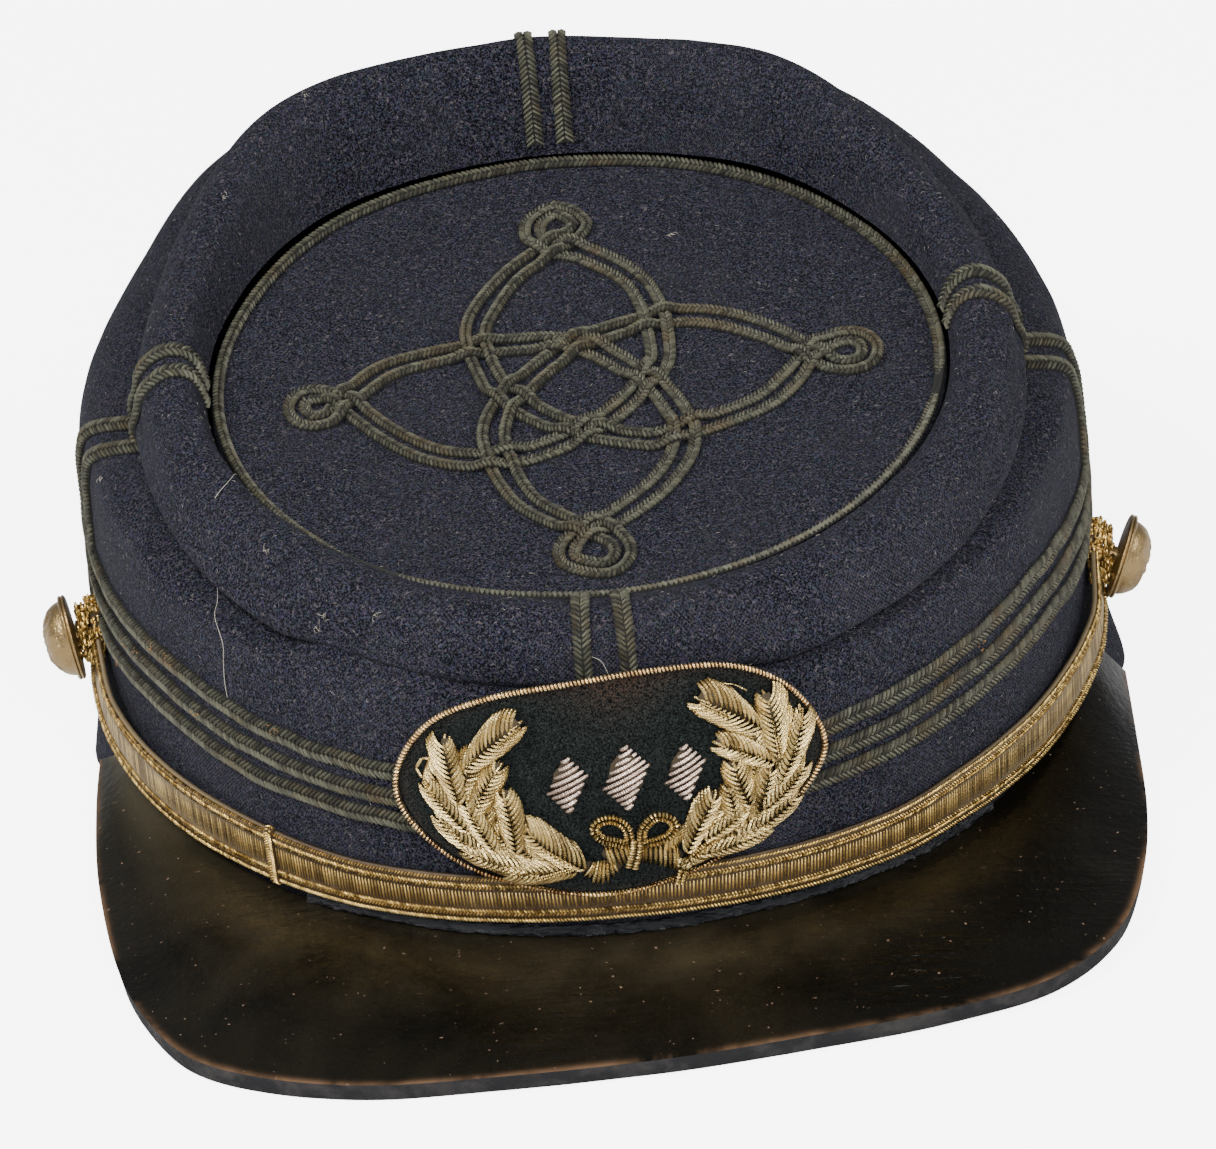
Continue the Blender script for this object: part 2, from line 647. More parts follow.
def bead(subdivisions):
    """A small closed round mesh, one unit in radius: the start of every thread and bead."""
    form = bmesh.new()
    bmesh.ops.create_icosphere(form, subdivisions=subdivisions, radius=1)
    return small_mesh("bead", form)


def turned(points, axis, steps):
    """A closed form, spun from a line of points round an axis."""
    form = bmesh.new()
    knots = [form.verts.new(point) for point in points]
    wire = [form.edges.new(pair) for pair in zip(knots, knots[1:])]
    bmesh.ops.spin(form, geom=knots + wire, cent=(0, 0, 0), axis=axis, angle=2 * pi, steps=steps,
                   use_merge=True)
    bmesh.ops.remove_doubles(form, verts=form.verts, dist=0.001)
    bmesh.ops.recalc_face_normals(form, faces=form.faces)
    return form


def strew(form, pattern, spots):
    """Adds copies of a small mesh to a bmesh. Each spot is a matrix in millimetres and a tone."""
    rest = np.ones((len(pattern.vertices), 4))
    rest[:, :3] = [v.co for v in pattern.vertices]
    scratch = pattern.copy()
    tones = scratch.attributes.new("tone", "FLOAT", "POINT")
    crests = scratch.attributes.new("crest", "FLOAT", "POINT")
    crests.data.foreach_set("value", (0.7 + 0.3 * rest[:, 2]).astype(np.float32))
    shift = np.array((0, HEAD_Y, 0))
    for matrix, value in spots:
        co = ((rest @ np.array(matrix).T)[:, :3] + shift) * MM
        scratch.vertices.foreach_set("co", co.ravel())
        tones.data.foreach_set("value", np.full(len(rest), value, np.float32))
        form.from_mesh(scratch)
    bpy.data.meshes.remove(scratch)


def lay(point, along, out, long, wide, high):
    """The matrix that lays a bead along a direction, on a surface that faces out."""
    side = out.cross(along).normalized()
    up = along.cross(side)
    axes = Matrix((along * long, side * wide, up * high)).transposed().to_4x4()
    axes.translation = point
    return axes


few, fine_bead = bead(1), bead(2)
print("beads of", len(few.polygons), "and", len(fine_bead.polygons), "faces")


# %% [markdown]
# Braid, lace and wire follow a line over the cap. A track keeps the line, the way out of the
# cloth along it, and its length, so that threads can be set at an even pitch.

# %% Tracks
class Track:
    def __init__(self, points, outs, closed=False):
        count = len(points)
        self.closed = closed
        self.points = list(points) + ([points[0]] if closed else [])
        self.outs = list(outs) + ([outs[0]] if closed else [])
        alongs = []
        for i in range(count):
            after = points[(i + 1) % count] if closed or i + 1 < count else points[i]
            before = points[i - 1] if closed or i > 0 else points[i]
            alongs.append((after - before).normalized())
        self.alongs = alongs + ([alongs[0]] if closed else [])
        self.marks = [0.0]
        for a, b in zip(self.points, self.points[1:]):
            self.marks.append(self.marks[-1] + (b - a).length)
        self.length = self.marks[-1]

    def at(self, far):
        """The point, the direction and the way out at a distance along the track."""
        i = min(max(bisect_right(self.marks, far) - 1, 0), len(self.marks) - 2)
        f = (far - self.marks[i]) / (self.marks[i + 1] - self.marks[i])
        point = self.points[i].lerp(self.points[i + 1], f)
        along = self.alongs[i].lerp(self.alongs[i + 1], f).normalized()
        out = self.outs[i].lerp(self.outs[i + 1], f).normalized()
        return point, along, out

    def stations(self, pitch):
        """Even stations along the track: distance, point, direction, way out and way across."""
        count = max(2, round(self.length / pitch))
        for i in range(count):
            far = (i + 0.5) * self.length / count
            point, along, out = self.at(far)
            yield far, point, along, out, along.cross(out).normalized()


def strip_form(track, section, step):
    """A closed strip along a track, with a section of (across, up) points, and filled ends."""
    steps = max(2, round(track.length / step))
    around = len(section)

    def spot(u, v):
        across, up = section[round(u * around) % around]
        point, along, out = track.at(v * track.length)
        return point + along.cross(out).normalized() * across + out * up

    form = skin_form(around, steps, spot)
    if not track.closed:
        bmesh.ops.holes_fill(form, edges=form.edges, sides=around)
    bmesh.ops.recalc_face_normals(form, faces=form.faces)
    return form


# %% [markdown]
# ## The shape of the wool
# Rings from the foot to the crown carry the measured heights and reaches at the front, the
# sides and the back. Gaussian humps add what is lopsided: the full back, the slack left side,
# and the hem that stands out behind each end of the visor.

# %% Rings of the cap
Ring = namedtuple("Ring", "front_y front_z side_x side_z back_y back_z left_lift bulge sag flare")
BODY = (
    Ring(-96.5, 5.1, 82.0, 0.0, 98.0, 0.0, 0.0, 0.0, 0.0, 4.5),      # foot
    Ring(-96.7, 7.1, 82.0, 2.0, 98.0, 2.0, 0.0, 0.0, 0.0, 4.5),      # top of the flat hem
    Ring(-98.6, 14.0, 82.6, 11.0, 98.3, 10.5, 0.0, 0.05, 0.1, 2.2),
    Ring(-99.0, 21.0, 83.0, 24.0, 98.3, 20.0, 0.0, 0.15, 0.3, 0.0),  # upper edge of the strap
    Ring(-98.8, 29.0, 82.6, 38.0, 96.5, 40.0, 0.0, 0.4, 0.6, 0.0),
    Ring(-97.0, 38.0, 82.0, 50.0, 91.5, 58.0, 0.0, 0.7, 1.0, 0.0),
    Ring(-95.5, 43.0, 81.0, 57.0, 82.5, 74.0, 0.0, 0.9, 1.2, 0.0),   # shoulder
    Ring(-93.3, 46.3, 78.5, 61.5, 70.0, 84.0, 0.0, 1.0, 1.0, 0.0),
    Ring(-88.4, 47.4, 69.2, 64.4, 50.0, 88.5, 0.0, 1.0, 0.0, 0.0),   # seam under the roll
)
ROLL = (
    Ring(-91.0, 48.5, 70.6, 65.4, 50.0, 89.2, 1.0, 1.0, 0.0, 0.0),   # lower edge, outside
    Ring(-92.2, 50.5, 71.5, 67.5, 52.0, 91.5, 1.0, 1.0, 0.0, 0.0),
    Ring(-90.5, 55.5, 70.6, 72.5, 50.5, 95.5, 1.0, 1.0, 0.0, 0.0),
    Ring(-86.0, 59.8, 66.4, 75.5, 46.5, 97.8, 1.0, 0.95, 0.0, 0.0),  # crest
    Ring(-81.2, 59.4, 62.5, 74.0, 42.0, 92.0, 1.0, 0.6, 0.0, 0.0),
    Ring(-79.2, 57.4, 60.6, 68.7, 38.9, 79.6, 0.0, 0.3, 0.0, 0.0),   # edge at the disc
)
Place = namedtuple("Place", "angle spread out lift")
BULGES = [Place(220, 20, 4.3, 2.4), Place(146, 14, 1.8, 1.8)]
SAG = Place(264, 15, 1.5, 0.0)
FLARES = [Place(84, 8, 1.3, 0.0), Place(278, 7, 1.0, 0.0)]
WALL = 2.0


def hump(angle, place):
    return exp(-(turn_between(angle, place.angle) / place.spread) ** 2)


def ring_point(ring, angle):
    turn = radians(angle)
    middle = (ring.front_y + ring.back_y) / 2
    reach = (ring.back_y - ring.front_y) / 2
    slope = (ring.front_z - ring.back_z) / 2
    saddle = ((ring.front_z + ring.back_z) / 2 - ring.side_z) / 2
    out = ring.sag * SAG.out * hump(angle, SAG)
    out += ring.flare * sum(flare.out * hump(angle, flare) for flare in FLARES)
    height = ring.side_z + saddle + slope * cos(turn) + saddle * cos(2 * turn)
    height -= ring.left_lift * sin(turn)
    for bulge in BULGES:
        out += ring.bulge * bulge.out * hump(angle, bulge)
        height += ring.bulge * bulge.lift * hump(angle, bulge)
    return Vector(((ring.side_x + out) * sin(turn), middle - (reach + out) * cos(turn), max(height, 0)))


@lru_cache(maxsize=None)
def ring_at(rings, t):
    return Ring(*smooth(rings, t))


# %% [markdown]
# A point of the wool is given by its angle and by t, counted in rings from the first. The way
# out of the surface is the cross product of two short steps on it.

# %% Points on the wool
def plain_point(rings, angle, t):
    return ring_point(ring_at(rings, round(t, 4)), angle)


def plain_out(rings, angle, t):
    low, high = max(t - 0.05, 0), min(t + 0.05, len(rings) - 1)
    along = plain_point(rings, angle + 0.5, t) - plain_point(rings, angle - 0.5, t)
    upward = plain_point(rings, angle, high) - plain_point(rings, angle, low)
    return along.cross(upward).normalized()


print("wall at the strap's upper edge:", [round(v, 1) for v in plain_point(BODY, 90, 3)])

# %% [markdown]
# Worn wool is never quite even. Two sizes of soft noise lift and sink it by a few tenths of a
# millimetre. Everything that lies on the cloth reads the same function, so braid sinks and
# rises with it. The top of the wall runs to the roll: a groove shows at the sides and the back,
# but at the front the wall is drawn up over the foot of the roll and no groove is left.

# %% The uneven cloth
TUCK_FROM = 6.3       # the ring where the wall starts to lean to the roll at the front
GROOVE_FROM = 7.72    # and where it dips under the roll everywhere else
GROOVE_DEEP, GROOVE_DROP = 1.6, 0.9     # how far in and down it dips there
DRAWN_OUT = 1.3       # how much less it dips in at the front
SEAM_ON_ROLL, DRAWN_UP = 0.02, 0.55     # where it meets the roll, and how much higher at the front
LEDGE, LEDGE_TO = 1.6, 1.4      # how far the foot of the roll stands out over an open groove
BROAD, FINE = (0.45, 24), (0.16, 8)     # height and width of the two sizes of unevenness


def tucked(angle):
    """1 where the wall is drawn up over the foot of the roll, 0 where the groove is open."""
    turn = turn_between(angle, 0)
    return clamp(min((turn + 44) / 6, (22 - turn) / 7))


def unevenness(point):
    return sum(high * noise.noise(point / wide) for high, wide in (BROAD, FINE))


def cloth_point(rings, angle, t, off=0.0):
    """A point on or off the cloth, and the way out of it."""
    point = plain_point(rings, angle, t)
    out = plain_out(rings, angle, t)
    settle = min(1.0, point.z / 8)
    point = point + out * (off + unevenness(point) * settle)
    if rings is BODY and t > TUCK_FROM:
        drawn = tucked(angle)
        first = GROOVE_FROM + (TUCK_FROM - GROOVE_FROM) * drawn
        share = ease(max(0.0, (t - first) / (len(BODY) - 1 - first)))
        seam = round(SEAM_ON_ROLL + DRAWN_UP * drawn, 3)
        under, way = cloth_point(ROLL, angle, seam, off - GROOVE_DEEP + DRAWN_OUT * drawn)
        under = under - Vector((0, 0, GROOVE_DROP * (1 - drawn)))
        return point.lerp(under, share), out.lerp(way, share).normalized()
    if rings is ROLL and t < LEDGE_TO:
        point = point + out * (LEDGE * (1 - tucked(angle)) * sin(pi * (t / LEDGE_TO) ** 0.6))
    return point, out


@lru_cache(maxsize=None)
def body_t(angle, height):
    """Where the wall of the cap reaches a height."""
    low, high = 0.0, len(BODY) - 1.0
    for _ in range(18):
        t = (low + high) / 2
        if plain_point(BODY, angle, t).z < height:
            low = t
        else:
            high = t
    return low


def on_wall(angle, height, off):
    return cloth_point(BODY, angle, body_t(angle, height), off)


print("ring at a height of 30 mm in front:", round(body_t(0, 30), 2))


# %% [markdown]
# ## Wool
# The cap is two pieces of cloth that meet under the middle row of braid: a band, and a softer
# side panel that leans in to the crown. Each is a skin of 2 mm, and the band's hem is rounded.
# In the open part of the groove under the roll both cloths are marked dark.

# %% Rows of braid give the seam
Rows = namedtuple("Rows", "angle top middle bottom lean")
BAND_ROWS = [
    Rows(0, 35.6, 31.6, 27.8, 0.0),
    Rows(25, 36.3, 32.0, 28.2, 0.6),
    Rows(43, 38.2, 33.6, 29.2, 1.0),
    Rows(60, 40.6, 35.8, 31.0, 0.6),
    Rows(80, 40.6, 35.4, 30.2, 0.0),
    Rows(110, 40.0, 34.5, 29.5, 0.0),
    Rows(180, 40.0, 34.5, 29.5, 0.0),
]
SEAM_GAP = 0.04
CAP_COLUMNS = 300


def band_row(angle, name):
    turn = turn_between(angle, 0)
    row = Rows(*lookup(BAND_ROWS, abs(turn)))
    return getattr(row, name) + (1 if turn > 0 else -1) * row.lean


@lru_cache(maxsize=None)
def seam_t(angle):
    return body_t(angle, band_row(angle, "middle"))


print("seam in front:", round(seam_t(0), 2), "rings up")

# %% Band and side panel
def column_angle(u):
    return round(360 * u, 3) % 360


FOOT = 0.45           # the skin starts this far up, so that its inner side clears the ground
BAND_ROUNDING = 0.7
GROOVE_SHADE, ROLL_SHADE = 0.24, 0.22     # how far down the wall and up the roll the dark goes
BAND_STEPS, WOOL_STEPS = 18, 60


def band_spot(u, v):
    angle = column_angle(u)
    start = body_t(angle, FOOT)
    return cloth_point(BODY, angle, start + v * (seam_t(angle) - SEAM_GAP - start))[0]


def panel_spot(u, v):
    angle = column_angle(u)
    start = seam_t(angle) + SEAM_GAP
    return cloth_point(BODY, angle, start + v * (len(BODY) - 1 - start))[0]


def panel_shade(u, v):
    angle = column_angle(u)
    start = seam_t(angle) + SEAM_GAP
    below = (1 - v) * (len(BODY) - 1 - start)
    return (1 - tucked(angle)) * exp(-(below / GROOVE_SHADE) ** 2)


band = keep(show("band_wool", skin_form(CAP_COLUMNS, BAND_STEPS, band_spot), wool), "wool", "band")
thicken(band, WALL, rounding=BAND_ROUNDING)
form = skin_form(CAP_COLUMNS, WOOL_STEPS, panel_spot, [("shade", panel_shade)])
panel = keep(show("side_panel_wool", form, wool), "wool", "side_panel")
thicken(panel, WALL)
print("band and side panel:", len(band.data.polygons), len(panel.data.polygons), "faces")

# %% [markdown]
# The roll is a tube of wool stuffed with wadding. Its skin runs up the outside, over the crest
# and down to the disc, and closes underneath, where the seam pulls it in.

# %% Roll
TOP_SHARE = 0.86


def roll_spot(u, v):
    angle = column_angle(u)
    last = len(ROLL) - 1
    if v <= TOP_SHARE:
        return cloth_point(ROLL, angle, last * v / TOP_SHARE)[0]
    inner, _ = cloth_point(ROLL, angle, last)
    outer, _ = cloth_point(ROLL, angle, 0)
    return inner.lerp(outer, (v - TOP_SHARE) / (1 - TOP_SHARE))


def roll_shade(u, v):
    return (1 - tucked(column_angle(u))) * exp(-(v / TOP_SHARE * (len(ROLL) - 1) / ROLL_SHADE) ** 2)


form = skin_form(CAP_COLUMNS, WOOL_STEPS, roll_spot, [("shade", roll_shade)])
roll = keep(show("crown_roll_wool", form, wool), "wool", "crown_roll")
print("roll:", len(roll.data.polygons), "faces")

# %% [markdown]
# The disc slopes down to the front. It is nearly flat, but the cloth is not stretched tight, so
# it dips a little here and there.

# %% Disc
DISC_CENTRE = Vector((0.5, -20.6, 67.8))
DISC_TILT = radians(10.6)
DISC_UP = Vector((0, -sin(DISC_TILT), cos(DISC_TILT)))
DISC_INSET = 0.6      # how far the disc's edge stays clear of the roll
DISC_THICK = 2.0
DISC_SLACK = 0.5      # how much of the wool's unevenness the flat disc shows


def disc_point(u, v, off=0.0):
    """A point over the disc: u to the right, v up its slope to the back."""
    point = DISC_CENTRE + Vector((u, v * cos(DISC_TILT), v * sin(DISC_TILT)))
    return point + DISC_UP * (off + DISC_SLACK * unevenness(point * 1.3))


@lru_cache(maxsize=None)
def disc_reach(angle):
    """The u and v of the roll's inner edge at an angle."""
    edge = plain_point(ROLL, angle, len(ROLL) - 1) - DISC_CENTRE
    v = edge.y / cos(DISC_TILT)
    near = (hypot(edge.x, v) - DISC_INSET) / hypot(edge.x, v)
    return edge.x * near, v * near


def disc_spot(u, v):
    x, y = disc_reach(column_angle(u))
    return disc_point(x * (1 - v), y * (1 - v))


disc = keep(show("crown_disc_wool", skin_form(180, 26, disc_spot), wool), "wool", "crown_disc")
thicken(disc, DISC_THICK)
print("disc:", len(disc.data.polygons), "faces")

# %% [markdown]
# ## Flat braid
# The braid is a flat plait of two ridges whose threads slant towards each other, like an ear
# of wheat. Each thread is one stretched bead, laid at a slant, so the plait has its real
# pitch. Brushing in the same pattern as bump would look flat at the braid's edges. A dark
# strip underneath fills between the threads.

# %% Braid rows
PITCH = 0.83
SLANT = radians(47)
RIDGE_OUT = 0.235                       # shares of the braid's width: each ridge from the middle,
THREAD_LONG, THREAD_FINE = 0.335, 0.40  # and half a thread's length; share of the pitch: its width
THREAD_UP, THREAD_LIFT, THREAD_DIP = 0.55, 0.15, 0.12
CORE_HALF, CORE_STEP = 0.40, 1.6


def plait(form, track, wide, pitch=PITCH, narrow=None):
    """Lays two ridges of slanted threads along a track. A function of the distance may narrow them."""
    count = round(track.length / pitch)
    spots = []
    for ridge in (-1, 1):
        for i in range(count):
            far = (i + 0.5 + 0.12 * chance.uniform(-1, 1)) * track.length / count
            point, along, out = track.at(far)
            side = along.cross(out).normalized()
            lean = SLANT + chance.uniform(-0.06, 0.06)
            direction = (along * cos(lean) + side * ridge * sin(lean)).normalized()
            full = narrow(far / track.length) if narrow else 1.0
            rise = THREAD_LIFT + THREAD_UP * (1.5 * full - 0.75)
            middle = point + side * ridge * wide * RIDGE_OUT * full + out * rise
            drop = (direction - out * THREAD_DIP).normalized()
            value = 0.5 + ridge * 0.12 + chance.uniform(-0.38, 0.38)
            sizes = (wide * THREAD_LONG * full, pitch * THREAD_FINE, THREAD_UP)
            spots.append((lay(middle, drop, out, *sizes), value))
    strew(form, few, spots)


def braid_piece(name, tracks, wide, nodes, pitch=PITCH, narrow=None):
    """A piece of braid along one or more tracks."""
    core = wide * CORE_HALF
    section = [(-core, 0.0), (core, 0.0), (core, 0.45), (core * 0.5, 0.8), (0, 0.5),
               (-core * 0.5, 0.8), (-core, 0.45)]
    form = bmesh.new()
    for track in tracks:
        pour(form, strip_form(track, section, CORE_STEP))
    second_finish(form)
    for track in tracks:
        plait(form, track, wide, pitch, narrow=narrow)
    piece = show(name, form, braid, braid_core)
    keep(piece, "braid", *nodes)
    return len(piece.data.polygons)


# %% [markdown]
# The three rows aren't ruled lines: noise round a circle makes each sway a little, and it closes
# where it began.

# %% Three rows round the band
BRAID_WIDE = 3.3
BRAID_OFF = 0.05      # how far the foot of a braid is off the cloth


def sway(angle, line):
    """How far a row strays up or down from its line, which is most at the sides."""
    turn = radians(angle)
    stray = noise.noise(Vector((14 * sin(turn), 14 * cos(turn), 7.0 * line)))
    return (0.25 + 0.35 * abs(sin(turn))) * stray


for line, name in enumerate(("top", "middle", "bottom")):
    spots = [on_wall(angle, round(band_row(angle, name) + sway(angle, line), 3), BRAID_OFF)
             for angle in range(0, 360, 2)]
    track = Track(*zip(*spots), closed=True)
    faces = braid_piece("band_braid_row_" + name, [track], BRAID_WIDE, ["band_braid_" + name])
    print("row", name, round(track.length), "mm,", faces, "faces")

# %% [markdown]
# Pairs of the same braid climb the side panel at the sides and the back. Pairs cross the roll
# there and at the front. A narrower ring runs along the disc's edge, just inside the roll.

# %% Upright pairs and the ring
Upright = namedtuple("Upright", "name at_band at_groove on_roll")
UPRIGHTS = [
    Upright("front_1", None, None, -2.8),
    Upright("front_2", None, None, 2.8),
    Upright("right_1", 81.0, 87.6, 91.8),
    Upright("right_2", 84.9, 91.8, 96.0),
    Upright("back_1", 178.8, 178.6, 178.6),
    Upright("back_2", 183.2, 183.4, 183.4),
    Upright("left_1", 273.8, 269.3, 268.2),
    Upright("left_2", 278.0, 273.5, 272.4),
]


UPRIGHT_STEPS = 24
ROLL_FROM, ROLL_TO, PANEL_TO = 0.15, 4.75, 7.8      # rings where the rows start and end
ABOVE_BAND = 1.2


def upright_track(rings, start, end):
    """A row from one (angle, ring) to another."""
    spots = []
    for i in range(UPRIGHT_STEPS + 1):
        share = i / UPRIGHT_STEPS
        angle = start[0] + (end[0] - start[0]) * share
        spots.append(cloth_point(rings, angle, start[1] + (end[1] - start[1]) * share, BRAID_OFF))
    return Track(*zip(*spots))


for row in UPRIGHTS:
    track = upright_track(ROLL, (row.on_roll, ROLL_FROM), (row.on_roll, ROLL_TO))
    braid_piece("roll_braid_row_" + row.name, [track], BRAID_WIDE, ["roll_braid_" + row.name])
    if row.at_band:
        foot = body_t(row.at_band, band_row(row.at_band, "top") + ABOVE_BAND)
        track = upright_track(BODY, (row.at_band, foot), (row.at_groove, PANEL_TO))
        braid_piece("panel_braid_row_" + row.name, [track], BRAID_WIDE, ["panel_braid_" + row.name])

RING_WIDE, RING_IN, RING_OFF, RING_LEAN = 2.2, 0.42, 0.35, 0.6
SUNK, SUNK_PLACES = 0.75, [Place(322, 6, 0, 0), Place(78, 3, 0, 0)]     # where the ring has sunk in the nap
ring_points, ring_outs = [], []
for angle in range(0, 360, 3):
    x, y = disc_reach(angle)
    near = 1 - RING_WIDE * RING_IN / hypot(x, y)
    ring_points.append(disc_point(x * near, y * near, RING_OFF))
    ring_outs.append((DISC_UP - Vector((x, y, 0)).normalized() * RING_LEAN).normalized())
ring_track = Track(ring_points, ring_outs, closed=True)


def ring_share(share):
    return 1 - sum(SUNK * hump(360 * share, place) for place in SUNK_PLACES)


braid_piece("disc_braid_ring", [ring_track], RING_WIDE, ["disc_braid"], narrow=ring_share)
print(len(UPRIGHTS), "upright rows; ring", round(ring_track.length), "mm")

# %% [markdown]
# ## The knot
# One braid, laid double, runs through four petals with an eye at each tip. Its middle line
# is measured all the way round on the disc. The two rows of braid lie on either side of that
# line and are woven: along each row, the places where it meets another are over and under
# by turns, and the row rises and sinks between them.

# %% Path of the knot
KNOT_PATH = [
    (-3.4, 35.2), (-5.6, 38.5), (-5.5, 42.5), (-3.0, 45.4), (-1.1, 45.5), (1.4, 42.8),
    (1.2, 38.8), (-9.3, 28.9), (-14.7, 19.9), (-16.7, 11.8), (-15.0, 1.6), (-12.5, -4.1),
    (-3.9, -13.3), (7.4, -18.4), (13.6, -18.3), (28.8, -11.5), (39.1, 1.6), (44.5, 3.6),
    (47.0, 0.9), (46.2, -2.9), (42.7, -4.0), (39.2, -2.0), (32.2, 5.8), (23.5, 11.5),
    (15.4, 13.1), (3.3, 9.7), (-5.1, 3.5), (-12.6, -6.5), (-15.0, -16.6), (-11.5, -30.8),
    (-4.9, -38.7), (0.6, -41.8), (3.4, -44.7), (3.6, -48.6), (0.8, -51.2), (-4.2, -48.8),
    (-4.6, -44.9), (-2.1, -41.8), (3.2, -38.4), (10.5, -31.0), (15.1, -21.7), (15.1, -13.4),
    (9.8, -2.1), (-2.8, 8.6), (-27.6, 6.8), (-37.6, -0.7), (-41.2, -5.6), (-44.8, -6.0),
    (-46.6, -2.8), (-44.9, 0.4), (-39.7, -1.6), (-32.2, -11.6), (-24.4, -18.5),
    (-14.3, -20.8), (-4.3, -17.8), (2.5, -13.1), (9.3, -5.1), (13.3, 4.4), (10.7, 22.9),
    (2.7, 32.3),
]
KNOT_STEPS = 600
KNOT_LIFT = 1.15
KNOT_RAMP = 3.6       # how far from a pass a row is back on the wool
KNOT_BRAID_WIDE, KNOT_PITCH = 2.25, 0.74
KNOT_SWAY, SWAY_LONG = 0.4, 13        # how far the rows stray, and over what length
EYE_FROM, EYE_OVER = 40, 6            # how far out an eye starts, and over what length
KNOT_APART = 1.3      # each row from their middle line, in an eye
KNOT_PARTED = 0.36    # and how much more along a petal


def knot_row(side):
    """One row of the knot: points on the disc, all the way round."""
    path = [Vector(smooth(KNOT_PATH, len(KNOT_PATH) * k / KNOT_STEPS, closed=True))
            for k in range(KNOT_STEPS)]
    row = []
    for k, here in enumerate(path):
        ahead = path[(k + 1) % KNOT_STEPS] - path[k - 1]
        across = Vector((ahead.y, -ahead.x)).normalized()
        petal = clamp((EYE_FROM - here.length) / EYE_OVER)
        stray = KNOT_SWAY * noise.noise(Vector((here.x, here.y, 9.0 * side)) / SWAY_LONG)
        row.append(here + across * (side * (KNOT_APART + KNOT_PARTED * petal) + stray))
    return row


def marks_along(row):
    marks = [0.0]
    for a, b in zip(row, row[1:] + row[:1]):
        marks.append(marks[-1] + (b - a).length)
    return marks


def meet(a, b, c, d):
    """How far along a-b and c-d the two lines cross, or None."""
    across = (b - a).x * (d - c).y - (b - a).y * (d - c).x
    if abs(across) < 1e-9:
        return None
    f = ((c - a).x * (d - c).y - (c - a).y * (d - c).x) / across
    g = ((c - a).x * (b - a).y - (c - a).y * (b - a).x) / across
    return (f, g) if 0 <= f < 1 and 0 <= g < 1 else None


print(len(KNOT_PATH), "points along the knot")

# %% [markdown]
# Each step of each row is tried against all later steps for a crossing. Two rows that take their
# crossings over and under by turns can be out of step, so the second may have to start under.

# %% Where the rows meet
rows = [knot_row(-1), knot_row(1)]
row_marks = [marks_along(row) for row in rows]
NEIGHBOURS = 8        # steps of one row this close together don't count as meeting
REACH = 6             # steps further apart than this can't meet
meetings = []         # (row, distance, other row, distance)
spots = [(r, k) for r in (0, 1) for k in range(KNOT_STEPS)]
for n, (r, i) in enumerate(spots):
    a, b = rows[r][i], rows[r][(i + 1) % KNOT_STEPS]
    for q, j in spots[n + 1:]:
        c, d = rows[q][j], rows[q][(j + 1) % KNOT_STEPS]
        near = r == q and not NEIGHBOURS < (j - i) % KNOT_STEPS < KNOT_STEPS - NEIGHBOURS
        if near or (a - c).length > REACH:
            continue
        crossing = meet(a, b, c, d)
        if crossing:
            at = row_marks[r][i] + crossing[0] * (b - a).length
            meetings.append((r, at, q, row_marks[q][j] + crossing[1] * (d - c).length))
orders = [sorted([m[1] for m in meetings if m[0] == r] + [m[3] for m in meetings if m[2] == r])
          for r in (0, 1)]
mixed = [m for m in meetings if m[0] != m[2]]
agree = sum((orders[0].index(m[1]) + orders[1].index(m[3])) % 2 for m in mixed)
shift = 0 if 2 * agree > len(mixed) else 1
print(len(meetings), "meetings of the two rows,", agree, "of", len(mixed), "in step")

# %% Lay the knot
knot_tracks = []
for r, (row, marks) in enumerate(zip(rows, row_marks)):
    first = (r * shift) % 2
    over, under = orders[r][first::2], orders[r][1 - first::2]
    points = []
    for here, mark in zip(row, marks):
        up, down = (min(min(abs(mark - at), marks[-1] - abs(mark - at)) for at in way)
                    for way in (over, under))
        share = max(0.0, min(1 - up / KNOT_RAMP, down / (up + down)))
        points.append(disc_point(here.x, here.y, BRAID_OFF + KNOT_LIFT * ease(share)))
    knot_tracks.append(Track(points, [DISC_UP] * len(points), closed=True))
faces = braid_piece("knot_braid", knot_tracks, KNOT_BRAID_WIDE, ["knot"], pitch=KNOT_PITCH)
print("knot:", round(sum(t.length for t in knot_tracks)), "mm of braid,", faces, "faces")

# %% [markdown]
# ## Chin strap
# The strap is woven lace: a gold cord along each edge, a second one inside it, and a middle
# field of upright gold bars that has worn smooth and grey towards the ends. The cords are
# slanted beads like the braid's, and the bars are long thin ones on a brown ground.

# %% Strap shape
Strap = namedtuple("Strap", "angle middle wide off")
STRAP = [
    Strap(0, 16.2, 8.4, 0.5),
    Strap(26, 14.8, 8.8, 0.5),
    Strap(45, 15.0, 10.0, 0.8),
    Strap(62, 15.6, 10.4, 1.5),
    Strap(72, 17.8, 10.2, 2.3),
    Strap(77.8, 21.2, 9.6, 1.6),
    Strap(82.0, 25.6, 6.2, 1.0),
]
STRAP_THICK = 0.75


def strap_at(angle):
    return Strap(*lookup(STRAP, abs(angle)))


STRAP_STEPS = 96
strap_angles = [STRAP[-1].angle * (2 * i / STRAP_STEPS - 1) for i in range(STRAP_STEPS + 1)]
strap_rows = [strap_at(round(angle, 3)) for angle in strap_angles]
strap_line = Track(*zip(*[on_wall(round(angle, 3), row.middle, row.off)
                          for angle, row in zip(strap_angles, strap_rows)]))
strap_halves = [row.wide / 2 for row in strap_rows]


def strap_half(far):
    share = far / strap_line.length * (len(strap_halves) - 1)
    i = min(int(share), len(strap_halves) - 2)
    return strap_halves[i] + (strap_halves[i + 1] - strap_halves[i]) * (share - i)


print("strap:", round(strap_line.length), "mm")

# %% [markdown]
# The ground is a thin skin with rounded edges. Beads in three slanted lines on each side make the
# cords, and one long bead across the strap makes each bar.

